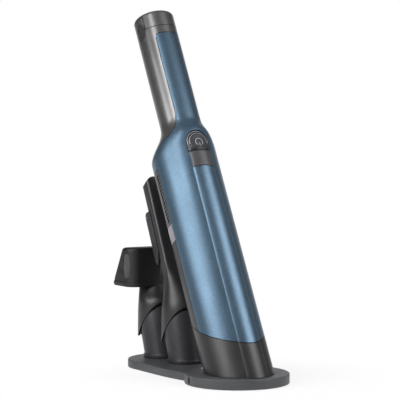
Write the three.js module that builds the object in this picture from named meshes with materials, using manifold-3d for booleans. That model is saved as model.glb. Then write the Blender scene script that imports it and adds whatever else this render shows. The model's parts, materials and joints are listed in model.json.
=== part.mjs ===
// Handheld wand vacuum standing in its charging dock, with two tools on the dock's posts.
// Millimetres, +Z up. The origin is on the floor under the centre of the dock's front disc,
// the front (button side) faces -Y, and X runs across. The vacuum is built in its own frame,
// with Z along its body axis and -Y on the button side, and a group leans it back.
import * as THREE from 'three';
import { mergeVertices } from 'three/addons/utils/BufferGeometryUtils.js';
import Module from 'manifold-3d';

const wasm = await Module();
wasm.setup();

// ---- general clearances ----
const GAP = 0.3;                  // between pieces that touch
const RUN = 0.5;                  // round moving pieces
const SIDES = 36;                 // facets round the vacuum's hull
const FAR = 400;                  // reach of a cutting block

// ---- vacuum body ----
const LEAN = 26.9;                // degrees back from upright
const AXIS_Y = -3.6;              // where the body axis meets the top of the disc
const BODY_R = 33;                // rear lobe
const BAND_R = 20;                // front band lobe
const BAND_AT = -15;              // its centre, forward of the axis
const BAND_HALF = 12;
const WALL = 2.2;
const GRIP_R = 20.8;
const GRIP_AT = -9.5;             // handle axis, forward of the body axis
const SHOULDER_LOW = 228;
const SHOULDER_HIGH = 261;
const SHOULDER_LEAD = 10;         // the handle's shift ends this far below the shoulder
const SHOULDER_STEPS = 6;
const TOP_S = 384;                // length of the vacuum above the disc, along its axis
const TOP_ROUND = 3;
const SPLIT_Y = 0.4;              // side split between front shell and rear pieces
const STRIP_Y = -25.8;            // rear edge of the blue strip on the handle
const STRIP_TOP = 357.5;
const SEAM_CURVE = [                // y and s of the seam from the rear round to the blue strip
  [BODY_R, 219.5], [18, 226.5], [3.2, 235], [-7.3, 240.9], [-19, 244.4], [-24, 252], [STRIP_Y, 264],
];
const SEAM_GROW = 0.7;            // share of a gap that each of y and s takes along the curve
const WEDGE_THIN = 0.8;           // front shell's depth behind, above the vents
const SEAM_S = 44.8;              // nozzle seam where it crosses the axis
const SEAM_SLOPE = 0.762;
const CAP_S = 366.5;
const CAP_BACK = -19.2;
const CAP_LID = 380.5;
const INSET_S = 364.8;              // oval inset in the side of the handle end
const INSET_LONG = 9.5;
const INSET_WIDE = 6.2;
const INSET_TILT = 9;            // degrees forward of the side
const INSET_FLOOR = 1.5;
const INSET_PLATE = 0.6;

// ---- rear panels ----
const VENT_TOP = 217.4;
const VENT_LOW = 159;
const CATCH_LOW = 141;
const VENT_COLS = 2;
const VENT_ROWS = 14;
const VENT_ANGLE = 100;           // first column, degrees round from the front
const VENT_STEP = 22;             // degrees between columns
const VENT_SLOT = 2;
const VENT_LONG = 5.6;
const VENT_PITCH = 3.7;
const VENT_FIRST = 163.2;
const VENT_TILT = 20;             // degrees of each slot

// ---- buttons ----
const ARCH_LOW = 222.4;
const ARCH_HALF = 12.4;
const ARCH_TOP = 244;
const BUTTON_LOW = 223.8;
const BUTTON_HALF = 9.4;
const BUTTON_TOP = 240.4;
const BUTTON_THICK = 3.4;
const STEM_HALF = 2;
const STEM_S = 231;
const PRESS = 1.2;
const SLIDER_LOW = 205;
const SLIDER_TOP = 221.6;
const SLIDER_HALF = 12.4;
const SLIDER_PROUD = 1.6;
const EJECT = 10;
const LUG_HALF = 3.5;
const LUG_LONG = 5;
const LUG_DOWN = 1;               // lug below the slider's top edge
const ROD_R = 1.8;
const ROD_Y = -27.4;
const ROD_LOW = 66;

// ---- inner works, as places along the axis ----
const CUP_R = 25.2;
const CUP_TOP = 118;
const CUP_WALL = 1.4;
const FILTER_R = 17;
const FILTER_LOW = 94;
const FILTER_WALL = 4;
const FILTER_FLANGE = 3;
const SHROUD_THICK = 2;
const SHROUD_EYE = 12;
const FAN_SIDE = 2;               // running space round the fan
const FAN_R = 23;
const FAN_TALL = 11;
const FAN_HUB = 7;
const FAN_BLADES = 9;
const FAN_BLADE = 1.2;
const FAN_BLADE_IN = 2;           // blade tips inside the plate's rim
const FAN_PLATE = 1.6;
const SHAFT_R = 2.5;
const SHAFT_IN = 12;              // depth of the shaft in the motor
const MOUNT_THICK = 3;
const MOTOR_LONG = 42;
const MOTOR_R = 20;
const SCREW_R = 1.5;
const SCREW_AT = 14;
const SCREW_IN = 6;               // depth of a screw in the motor
const SCREW_HEAD = 1.4;
const BOARD_LONG = 50;
const BOARD_THICK = 1.6;
const BOARD_Y = -17;
const BOARD_HALF = 14;
const SWITCH_HALF = 4;
const SWITCH_LONG = 10;
const SWITCH_THICK = 6;
const CELL_R = 9;
const CELL_LONG = 65;
const CELL_LOW = 286;
const CELL_LOWER_Y = -1.4;
const TRAY_THICK = 3;

// ---- nozzle ----
const MOUTH_PLATE = 3;
const MOUTH_CLEAR = 0.4;          // nozzle mouth above the disc
const THROAT_SIDE = 1.5;          // room round the dock's boss
const DUCT_WALL = 1.6;
const DUCT_LONG = 18;
const DUCT_AT = 4;                // duct centre behind the axis, along the floor
const FLAP_THICK = 1.4;
const HINGE_OUT = 1.9;            // hinge axis outside the hull
const KNUCKLE_R = 3.2;
const KNUCKLE_HALF = 5;
const KNUCKLE_SIDE = 6;
const KNUCKLE_EASE = 0.7;         // where the seats meet the knuckle, as a share of its radius
const SEAT_LOW = 1.4;             // upper seat on the spine, above the hinge axis
const SEAT_HIGH = 9;
const SEAT_ROOM = 4.6;            // cut round the middle knuckle, above the axis
const SEAT_DOWN = 6;              // lower seat on the nozzle, below the knuckle
const SEAT_SINK = 0.4;            // seats sunk in the hull's skin
const PIN_R = 1.4;
const PIN_ROOM = 0.1;
const PAD_R = 3;
const PAD_THICK = 1;
const PAD_X = 12;
const PAD_Y = -24;                // along the floor from the axis

// ---- dock ----
const DISC_R = 50.8;
const DISC_TOP = 10;
const FOOT_R = 4.2;
const FOOT_TALL = 1.6;
const FOOT_SHOW = 0.4;
const FOOT_RING = 44;
const POCKET_R = 36;
const POCKET_TOP = 6.5;
const COVER_THICK = 2;
const BALLAST_R = 30;
const BALLAST_THICK = 3;
const TAIL_TOP = 8.5;
const TAIL_HALF_FRONT = 38.5;
const TAIL_HALF = 42.2;
const TAIL_WIDE_FROM = 76;
const TAIL_END_AT = 130;
const TAIL_FLARE_FROM = 35.56;    // where the tail starts to widen
const TAIL_FLARE_EASE = 60.8;     // and where its curve's handle lies
const TAIL_FOOT_X = 30;
const TAIL_FOOT_Y = 122;
const BOSS_X = 19;
const BOSS_Y = 12;
const BOSS_TALL = 6;
const CONTACT_R = 1.6;
const CONTACT_DEEP = 3;
const LIGHT_R = 1.5;
const LIGHT_TALL = 3;
const LIGHT_PROUD = 0.9;
const LIGHT_X = -14;
const LIGHT_IN = 11.2;            // its place in from the disc's rim
const INLET_WIDE = 4;
const INLET_TALL = 6.4;
const INLET_DEEP = 9;
const INLET_Y = 6.4;
const INLET_LOW = 1.8;
const LINER = 0.7;

// ---- posts and the tools' collars ----
const POST_FRONT_Y = 95.2;
const POST_REAR_Y = 143.4;
const POST_LEAN = 14.8;
const POST_R_LOW = 18.5;
const POST_R_HIGH = 20.5;
const POST_FLARE_TOP = 60;
const FLANGE_TALL = 3.4;
const FLANGE_OUT = 1;
const FLANGE_STEP = 0.2;          // height of the step in from the flange
const COLLAR_R = 21;
const COLLAR_LOW = 10;
const JOIN_Z = 38.5;               // height of the oblique joint at the collar's axis
const JOIN_SLOPE = 1.48;
const JOIN_FOOT = 29;           // the joint runs level below this height
const COLLAR_SHIFT = 9.6;         // collar axis behind the post's foot
const PEG_R = 11;
const PEG_TOP = 62;
const PEG_ROOT = 12;              // peg below the joint's height
const POST_OVER = 6;              // post drawn above the joint before it is cut
const BOLT_R = 2;
const BOLT_HEAD = 4;
const BOLT_LONG = 22;
const BOLT_SEAT = 0.6;            // underside of the bolt's head above the tail's
const BOLT_HEAD_TALL = 2.5;

// ---- crevice tool, its centre line leaning back from the collar ----
const TUBE_LEAN = 25;
const TUBE_BACK = 9.7;            // start of the flat tube behind the collar's axis
const TUBE_LOW = 106;             // and its height
// Each row: height, place behind the collar's axis, lean, half width, half depth, squareness.
const CREVICE_FAIR = [
  [58, 0, 0, 20.5, 20.5, 2],
  [66, 0.2, 2, 20, 19.9, 2],
  [73, 1.2, 7, 18.5, 17.2, 2],
  [84, 3.4, 14, 16.7, 13, 2.4],
  [97, 7.1, 21, 15.9, 9, 3.4],
];
const TUBE_SQUARE = 6;
const TUBE_LONG = 96;
const TUBE_HALF = 16.2;
const TUBE_DEEP = 6.8;
const TUBE_WALL = 1.8;
const TIP_SLANT = 0.9;
const TIP_Z = 189;
const ARM_HALF = 17.1;
const ARM_THICK = 4.2;            // its back plate, behind the tube
const CHEEK = 1.4;                // its cheeks, beside the tube
const CHEEK_REACH = 5.3;          // forward of the tube's rear face
const CHEEK_CUT = 13;             // length of the slant at a cheek's foot
const RECESS_DEEP = 0.8;          // of the seat in the tube's sides for the cheeks
const RECESS_ROOM = 0.6;
const ARM_LOW = 4;                // along the tube from its foot
const ARM_HIGH = 60.5;
const BRISTLE_LONG = 15;
const BRISTLE_THICK = 3.9;
const BRISTLE_HALF = 13;
const BRISTLE_SPLAY = 6;          // how far the tuft's end stands out
const BRISTLE_TRIM = 3;           // slant of its cut end
const BRISTLE_SINK = 0.6;         // tuft's root behind the tube
const ARM_EASE = 0.7;             // share of the arm's thickness left square at its foot
const ARM_CUT = 6;                // length of the slant at its foot
const BRUSH_PIN_R = 1;
const EAR_AT = 9;                 // inner face of each ear from the middle
const EAR_THICK = 3;
const EAR_R = 2.6;
const EAR_ROOM = 1.2;             // arm's notch below each ear

// ---- upholstery tool ----
const HEAD_HALF = 36;
const HEAD_FRONT = 147.4;
const HEAD_LOW = 81;
const HEAD_TOP = 121.6;
const HEAD_TOP_BACK = 167.6;
const HEAD_LOW_BACK = 185.8;
const HEAD_LIP = 7;               // height of the mouth's lower lip
const HEAD_WALL = 2.4;
const HEAD_ROUND = 4;
const HEAD_CORNER = 3;
const MOUTH_CHAMFER = 6;
const NECK_R_TOP = 14.5;
const NECK_FAIR = [               // height, share of the way back to the head, radius
  [58, 0, 20.5],
  [68, 0.03, 19.8],
  [76, 0.6, 16.6],
];
const DIMPLE_SINK = 1.2;
const DIMPLE_HALF = 6.5;
const DIMPLE_TALL = 13;
const LINT_THICK = 2;
const LINT_TALL = 4;
const LINT_END = 5;
const LINT_IN = 6;                // strip's place in from the lip's edge

// ---- colours ----
const BLUE = 0x5f7f9f;
const GREY = 0x4b4c50;
const DARK = 0x2a2b2e;
const BLACK = 0x17181a;
const SMOKE = 0x3c3e42;
const STEEL = 0xb9bcc0;
const COPPER = 0xb87333;
const GREEN = 0x1d5b3a;
const FOAM = 0xd9d6cc;
const LENS = 0xe8eef2;

// ---------------------------------------------------------------- solids
function solid(geometry) {
  const bare = geometry.clone();
  bare.deleteAttribute('normal');
  bare.deleteAttribute('uv');
  const merged = mergeVertices(bare, 1e-4);
  const vertProperties = new Float32Array(merged.attributes.position.array);
  const triVerts = new Uint32Array(merged.index.array);
  return new wasm.Manifold(new wasm.Mesh({ numProp: 3, vertProperties, triVerts }));
}

function mesh(name, body, color, roughness = 0.5, metalness = 0) {
  const data = body.getMesh();
  const geometry = new THREE.BufferGeometry();
  const flat = new THREE.BufferAttribute(Float32Array.from(data.vertProperties), 3);
  geometry.setAttribute('position', flat);
  geometry.setIndex(Array.from(data.triVerts));
  geometry.computeVertexNormals();
  const material = new THREE.MeshStandardMaterial({ color, roughness, metalness });
  const made = new THREE.Mesh(geometry, material);
  made.name = name;
  return made;
}

function block(x0, x1, y0, y1, z0, z1) {
  const geometry = new THREE.BoxGeometry(x1 - x0, y1 - y0, z1 - z0);
  geometry.translate((x0 + x1) / 2, (y0 + y1) / 2, (z0 + z1) / 2);
  return solid(geometry);
}

// A round bar along Z from z0 to z1.
function bar(x, y, radius, z0, z1, sides = 24) {
  const geometry = new THREE.CylinderGeometry(radius, radius, z1 - z0, sides);
  geometry.rotateX(Math.PI / 2);
  geometry.translate(x, y, (z0 + z1) / 2);
  return solid(geometry);
}

// A round bar along X, from x0 to x1.
function crossBar(y, z, radius, x0, x1, sides = 24) {
  const geometry = new THREE.CylinderGeometry(radius, radius, x1 - x0, sides);
  geometry.rotateZ(Math.PI / 2);
  geometry.translate((x0 + x1) / 2, y, z);
  return solid(geometry);
}

// A side outline in (y, z), drawn out along X from x0 to x1.
function sidePrism(shape, x0, x1, options = {}) {
  const settings = { depth: x1 - x0, bevelEnabled: false, ...options };
  const geometry = new THREE.ExtrudeGeometry(shape, settings);
  const turn = new THREE.Matrix4().makeBasis(
    new THREE.Vector3(0, 1, 0), new THREE.Vector3(0, 0, 1), new THREE.Vector3(1, 0, 0));
  geometry.applyMatrix4(turn);
  geometry.translate(x0, 0, 0);
  return solid(geometry);
}

// A front outline in (x, z), drawn out along Y from y0 to y1.
function frontPrism(shape, y0, y1) {
  const geometry = new THREE.ExtrudeGeometry(shape, { depth: y1 - y0, bevelEnabled: false });
  geometry.rotateX(Math.PI / 2);
  geometry.translate(0, y1, 0);
  return solid(geometry);
}

// A plan outline in (x, y), drawn up from z0 to z1.
function planPrism(shape, z0, z1) {
  const settings = { depth: z1 - z0, bevelEnabled: false, curveSegments: 12 };
  const geometry = new THREE.ExtrudeGeometry(shape, settings);
  geometry.translate(0, 0, z0);
  return solid(geometry);
}

function outline(points) {
  return new THREE.Shape(points.map(([u, v]) => new THREE.Vector2(u, v)));
}

// A closed skin through a row of sections. The plain cylinder's rings become the stations,
// and place(station, angle, share) says where a point of that ring goes.
function loft(stations, place, sides = SIDES) {
  const steps = stations.length - 1;
  const geometry = new THREE.CylinderGeometry(1, 1, steps, sides, steps);
  const at = geometry.attributes.position;
  for (let i = 0; i < at.count; i += 1) {
    const index = Math.round(at.getY(i) + steps / 2);
    const share = Math.hypot(at.getX(i), at.getZ(i)) > 0.5 ? 1 : 0;
    const angle = Math.atan2(at.getX(i), at.getZ(i));
    const [x, y, z] = place(stations[index], angle, share);
    at.setXYZ(i, x, y, z);
  }
  return solid(geometry);
}

// ---------------------------------------------------------------- the vacuum's hull
function smooth(low, high, s) {
  const t = Math.min(1, Math.max(0, (s - low) / (high - low)));
  return t * t * (3 - 2 * t);
}

function section(s) {
  const shrink = smooth(SHOULDER_LOW, SHOULDER_HIGH, s);
  const shift = smooth(SHOULDER_LOW, SHOULDER_HIGH - SHOULDER_LEAD, s);
  const end = Math.max(0, s - (TOP_S - TOP_ROUND));
  const drop = TOP_ROUND - Math.sqrt(Math.max(0, TOP_ROUND ** 2 - end ** 2));
  return {
    r: BODY_R + (GRIP_R - BODY_R) * shrink - drop,
    at: GRIP_AT * shift,
    bandR: BAND_R + (GRIP_R - BAND_R) * shrink - drop,
    bandAt: BAND_AT + (GRIP_AT - BAND_AT) * shrink,
  };
}

// Distance from the section's centre to its edge, angle 0 being the front.
function reach(cut, angle, inset) {
  const gap = cut.at - cut.bandAt;
  const side = gap * Math.sin(angle);
  const bandR = cut.bandR - inset;
  const r = cut.r - inset;
  if (Math.cos(angle) <= 0 || Math.abs(side) >= bandR) return r;
  const band = gap * Math.cos(angle) + Math.sqrt(bandR ** 2 - side ** 2);
  return Math.abs(band * Math.sin(angle)) <= BAND_HALF - inset ? Math.max(r, band) : r;
}

function hull(low, high, inset = 0) {
  const stations = [low];
  for (let k = 0; k <= SHOULDER_STEPS; k += 1) {
    stations.push(SHOULDER_LOW + (SHOULDER_HIGH - SHOULDER_LOW) * k / SHOULDER_STEPS);
  }
  for (let k = 0; k < 2; k += 1) {
    stations.push(TOP_S - TOP_ROUND + TOP_ROUND * Math.sin(k * Math.PI / 4));
  }
  stations.push(high);
  const kept = [...new Set(stations)].filter((s) => s >= low && s <= high).sort((a, b) => a - b);
  return loft(kept, (s, angle, share) => {
    const cut = section(s);
    const far = reach(cut, angle, inset) * share;
    return [far * Math.sin(angle), cut.at - far * Math.cos(angle), s];
  });
}

const LOW_S = -60;
const skin = hull(LOW_S, TOP_S);
const hollow = hull(LOW_S - 1, TOP_S - TOP_ROUND, WALL);
const wall = skin.subtract(hollow);

// Everything below the nozzle seam, moved along the axis by shift.
function belowSeam(shift) {
  const high = (y) => SEAM_S + SEAM_SLOPE * y + shift;
  return sidePrism(outline([[-FAR, -FAR], [FAR, -FAR], [FAR, high(FAR)], [-FAR, high(-FAR)]]), -FAR, FAR);
}

// Side outline of the front shell; grow moves its rear edge.
function frontRegion(grow) {
  const shape = new THREE.Shape();
  shape.moveTo(-FAR, -FAR);
  shape.lineTo(SPLIT_Y + grow, -FAR);
  shape.lineTo(SPLIT_Y + grow, VENT_TOP + GAP - grow);
  shape.lineTo(2 * BODY_R, VENT_TOP + GAP - grow);
  shape.lineTo(2 * BODY_R, VENT_TOP + WEDGE_THIN + grow);
  const shift = grow * SEAM_GROW;
  shape.splineThru(SEAM_CURVE.map(([y, s]) => new THREE.Vector2(y + shift, s + shift)));
  shape.lineTo(STRIP_Y + grow, STRIP_TOP + grow);
  shape.lineTo(-FAR, STRIP_TOP + grow);
  return sidePrism(shape, -FAR, FAR, { curveSegments: 12 });
}

// Arch outline in (x, s) for the button and its bezel.
function arch(half, low, high) {
  const shape = new THREE.Shape();
  shape.moveTo(-half, low);
  shape.lineTo(half, low);
  shape.lineTo(half, high - half);
  shape.absarc(0, high - half, half, 0, Math.PI, false);
  shape.closePath();
  return frontPrism(shape, -FAR, BAND_AT);
}

const frontBlock = frontRegion(0);
const frontBlockWide = frontRegion(GAP);
const lugTop = SLIDER_TOP - LUG_DOWN;
const lugSlot = block(-LUG_HALF - GAP, LUG_HALF + GAP, -FAR, BAND_AT,
  lugTop - LUG_LONG - EJECT - GAP, lugTop + GAP);
const archHole = arch(ARCH_HALF + GAP, ARCH_LOW - GAP, ARCH_TOP + GAP);

const group = new THREE.Group();
const vacuum = new THREE.Group();
vacuum.position.set(0, AXIS_Y, DISC_TOP);
vacuum.rotation.x = THREE.MathUtils.degToRad(-LEAN);
group.add(vacuum);

function addShells() {
  const front = wall
    .intersect(frontBlock)
    .subtract(belowSeam(GAP))
    .subtract(lugSlot)
    .subtract(archHole);
  vacuum.add(mesh('front_shell', front, BLUE, 0.35, 0.6));

  const lid = block(-FAR, FAR, -FAR, FAR, CAP_LID, FAR);
  const face = block(-FAR, FAR, -FAR, CAP_BACK, CAP_S, FAR);
  const capRegion = lid.add(face);
  const lidWide = block(-FAR, FAR, -FAR, FAR, CAP_LID - GAP, FAR);
  const faceWide = block(-FAR, FAR, -FAR, CAP_BACK + GAP, CAP_S - GAP, FAR);
  vacuum.add(mesh('end_cap', wall.intersect(capRegion), DARK, 0.35));

  const oval = insetOval(0);
  const rear = wall
    .subtract(frontBlockWide)
    .subtract(lidWide)
    .subtract(faceWide)
    .subtract(block(-FAR, FAR, -FAR, FAR, -FAR, VENT_TOP + GAP))
    .subtract(oval.subtract(hull(LOW_S, TOP_S + 1, INSET_FLOOR)));
  vacuum.add(mesh('handle_shell', rear, GREY, 0.4, 0.2));

  const low = INSET_FLOOR - GAP;
  const plate = hull(LOW_S, TOP_S, low - INSET_PLATE).subtract(hull(LOW_S - 1, TOP_S + 1, low));
  vacuum.add(mesh('side_inset', plate.intersect(insetOval(GAP)), DARK, 0.5));
}

// The oval prism that sinks into the handle's side; trim makes it smaller.
function insetOval(trim) {
  const shape = new THREE.Shape();
  shape.absellipse(0, 0, INSET_WIDE - trim, INSET_LONG - trim, 0, 2 * Math.PI, false, 0);
  const settings = { depth: GRIP_R, bevelEnabled: false, curveSegments: 10 };
  const geometry = new THREE.ExtrudeGeometry(shape, settings);
  geometry.rotateX(Math.PI / 2);
  geometry.translate(0, -GRIP_R / 4, 0);
  geometry.rotateZ(THREE.MathUtils.degToRad(INSET_TILT - 90));
  geometry.translate(0, GRIP_AT, INSET_S);
  return solid(geometry);
}

// A slot pointing out of the hull at an angle round from the front.
function radialSlot(degrees, s) {
  const geometry = new THREE.BoxGeometry(VENT_LONG, BODY_R, VENT_SLOT);
  geometry.rotateY(THREE.MathUtils.degToRad(VENT_TILT));
  geometry.translate(0, -BODY_R, s);
  geometry.rotateZ(THREE.MathUtils.degToRad(degrees));
  return solid(geometry);
}

function rearPiece(low, high) {
  const region = block(-FAR, FAR, SPLIT_Y + GAP, FAR, low, high);
  return wall.intersect(region);
}

function addRearPanels() {
  let vents = rearPiece(VENT_LOW, VENT_TOP - GAP);
  for (let side = -1; side <= 1; side += 2) {
    for (let column = 0; column < VENT_COLS; column += 1) {
      for (let row = 0; row < VENT_ROWS; row += 1) {
        const angle = side * (VENT_ANGLE + column * VENT_STEP);
        const s = VENT_FIRST + row * VENT_PITCH + (column % 2) * VENT_PITCH / 3;
        vents = vents.subtract(radialSlot(angle, s));
      }
    }
  }
  vacuum.add(mesh('vent_panel', vents, DARK, 0.5));
  vacuum.add(mesh('cup_catch', rearPiece(CATCH_LOW, VENT_LOW - GAP), SMOKE, 0.25));

  const spine = rearPiece(LOW_S, CATCH_LOW - GAP).subtract(belowSeam(GAP));
  const [y, s] = hingeAxis();
  const outer = KNUCKLE_HALF + GAP + KNUCKLE_SIDE;
  const ease = KNUCKLE_R * KNUCKLE_EASE;
  const seat = sidePrism(outline([
    [BODY_R - WALL, s + SEAT_HIGH - WALL], [BODY_R - SEAT_SINK, s + SEAT_HIGH], [y + ease, s + ease],
    [y, s], [BODY_R - SEAT_SINK, s + SEAT_LOW], [BODY_R - WALL, s + SEAT_LOW],
  ]), -outer, outer);
  const knuckle = crossBar(y, s, KNUCKLE_R, -outer, outer).add(seat);
  const middle = KNUCKLE_HALF + GAP;
  const room = block(-middle, middle, BODY_R - 2 * WALL, FAR, s - FAR, s + SEAT_ROOM);
  const pinHole = crossBar(y, s, PIN_R + PIN_ROOM, -2 * outer, 2 * outer);
  const bored = spine.add(knuckle).subtract(room).subtract(pinHole);
  const clear = belowSeam(GAP).subtract(block(-outer, outer, BODY_R - WALL / 2, FAR, s - KNUCKLE_R, FAR));
  vacuum.add(mesh('cup_spine', bored.subtract(clear), SMOKE, 0.3));
  vacuum.add(mesh('hinge_pin', crossBar(y, s, PIN_R, -outer, outer), STEEL, 0.3, 1));
}

function hingeAxis() {
  const y = BODY_R + HINGE_OUT;
  return [y, SEAM_S + SEAM_SLOPE * y];
}

// A plane prism below or above the nozzle's mouth, which lies flat on the dock's disc.
function mouthPlane(height) {
  const geometry = new THREE.BoxGeometry(FAR, FAR, FAR);
  geometry.translate(0, 0, height - FAR / 2);
  geometry.rotateX(THREE.MathUtils.degToRad(LEAN));
  return solid(geometry);
}

// Turns a solid drawn upright over the dock (z from the disc's top, y from the body axis)
// into the leaning frame of the vacuum.
function fromDock(geometry) {
  geometry.rotateX(THREE.MathUtils.degToRad(LEAN));
  return solid(geometry);
}

function ovalDisc(halfX, halfY, z0, z1, y = 0) {
  const shape = new THREE.Shape();
  shape.absellipse(0, y, halfX, halfY, 0, 2 * Math.PI, false, 0);
  const settings = { depth: z1 - z0, bevelEnabled: false, curveSegments: 12 };
  const geometry = new THREE.ExtrudeGeometry(shape, settings);
  geometry.translate(0, 0, z0);
  return geometry;
}

const throatX = BOSS_X + THROAT_SIDE;
const throatY = BOSS_Y + THROAT_SIDE;

function addNozzle() {
  const plateTop = MOUTH_CLEAR + MOUTH_PLATE;
  const ductX = throatX + DUCT_WALL;
  const ductY = throatY + DUCT_WALL;
  const ring = wall.intersect(belowSeam(-GAP)).subtract(mouthPlane(MOUTH_CLEAR));
  const floor = hull(LOW_S, TOP_S, WALL / 2)
    .intersect(mouthPlane(plateTop))
    .subtract(mouthPlane(MOUTH_CLEAR));
  const duct = fromDock(ovalDisc(ductX, ductY, MOUTH_CLEAR, DUCT_LONG, DUCT_AT));
  const throat = fromDock(ovalDisc(throatX, throatY, -FAR, FAR, DUCT_AT));
  const [y, s] = hingeAxis();
  const ease = KNUCKLE_R * KNUCKLE_EASE;
  const seat = sidePrism(outline([
    [y, s], [BODY_R - WALL, s - KNUCKLE_R],
    [BODY_R - WALL, s - KNUCKLE_R - SEAT_DOWN + WALL], [BODY_R - SEAT_SINK, s - KNUCKLE_R - SEAT_DOWN],
    [y + ease, s - ease],
  ]), -KNUCKLE_HALF, KNUCKLE_HALF);
  const knuckle = crossBar(y, s, KNUCKLE_R, -KNUCKLE_HALF, KNUCKLE_HALF).add(seat);
  const room = KNUCKLE_HALF + GAP;
  const outer = room + KNUCKLE_SIDE + GAP;
  const sideRoom = crossBar(y, s, KNUCKLE_R + RUN, -outer, -room + GAP / 2)
    .add(crossBar(y, s, KNUCKLE_R + RUN, room - GAP / 2, outer));
  let body = ring.add(floor).add(duct).subtract(throat).subtract(sideRoom).add(knuckle)
    .subtract(crossBar(y, s, PIN_R + PIN_ROOM, -outer, outer));
  for (const side of [-1, 1]) {
    const padTop = MOUTH_CLEAR + GAP + PAD_THICK;
    const pocket = roundPad(side * PAD_X, PAD_Y, PAD_R + GAP, -1, padTop + GAP);
    body = body.subtract(pocket);
    const pad = roundPad(side * PAD_X, PAD_Y, PAD_R, MOUTH_CLEAR + GAP, padTop);
    vacuum.add(mesh(side < 0 ? 'contact_pad_left' : 'contact_pad_right', pad, STEEL, 0.3, 1));
  }
  vacuum.add(mesh('nozzle', body, DARK, 0.18));

  const flapLow = DUCT_LONG + GAP;
  const flap = fromDock(ovalDisc(ductX, ductY, flapLow, flapLow + FLAP_THICK, DUCT_AT));
  vacuum.add(mesh('inlet_flap', flap, BLACK, 0.7));
}

// A round pad drawn upright over the dock, turned into the leaning frame.
function roundPad(x, y, radius, z0, z1) {
  const geometry = new THREE.CylinderGeometry(radius, radius, z1 - z0, 20);
  geometry.rotateX(Math.PI / 2);
  geometry.translate(x, y, (z0 + z1) / 2);
  return fromDock(geometry);
}

// ---------------------------------------------------------------- controls
const switchFront = BOARD_Y - BOARD_THICK / 2 - GAP - SWITCH_THICK;

function addControls() {
  const bezel = arch(ARCH_HALF, ARCH_LOW, ARCH_TOP)
    .subtract(arch(BUTTON_HALF + GAP, BUTTON_LOW - GAP, BUTTON_TOP + GAP));
  vacuum.add(mesh('button_bezel', wall.intersect(bezel), DARK, 0.35));

  const face = skin.subtract(hull(LOW_S - 1, TOP_S + 1, BUTTON_THICK))
    .intersect(arch(BUTTON_HALF, BUTTON_LOW, BUTTON_TOP));
  const stemRoot = BAND_AT - BAND_R + BUTTON_THICK / 2;
  const stem = block(-STEM_HALF, STEM_HALF, stemRoot, switchFront - PRESS - GAP,
    STEM_S - STEM_HALF, STEM_S + STEM_HALF);
  vacuum.add(mesh('power_button', face.add(stem), DARK, 0.35));

  const plate = block(-SLIDER_HALF, SLIDER_HALF, -FAR, BAND_AT, SLIDER_LOW, SLIDER_TOP);
  const cap = hull(SLIDER_LOW - 1, SLIDER_TOP + 1, -SLIDER_PROUD).subtract(hull(LOW_S, TOP_S, -GAP));
  const lugFront = BAND_AT - BAND_R - SLIDER_PROUD / 2;
  const lug = block(-LUG_HALF, LUG_HALF, lugFront, ROD_Y - ROD_R - GAP, lugTop - LUG_LONG, lugTop);
  vacuum.add(mesh('ejector_slider', cap.intersect(plate).add(lug), GREY, 0.4, 0.2));
  vacuum.add(mesh('ejector_rod', bar(0, ROD_Y, ROD_R, ROD_LOW, lugTop, 12), STEEL, 0.3, 1));
}

// ---------------------------------------------------------------- inner works
const cupAt = BODY_R - WALL - GAP - CUP_R;
const insideR = BODY_R - WALL - GAP;
const flangeLow = CUP_TOP + GAP;
const shroudLow = flangeLow + FILTER_FLANGE + GAP;
const fanLow = shroudLow + SHROUD_THICK + FAN_SIDE;
const mountLow = fanLow + FAN_TALL + FAN_SIDE;
const motorLow = mountLow + MOUNT_THICK + GAP;
const motorHigh = motorLow + MOTOR_LONG;
const rodRoom = block(-ROD_R - RUN, ROD_R + RUN, -FAR, ROD_Y + ROD_R + RUN, 0, FAR);

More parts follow.
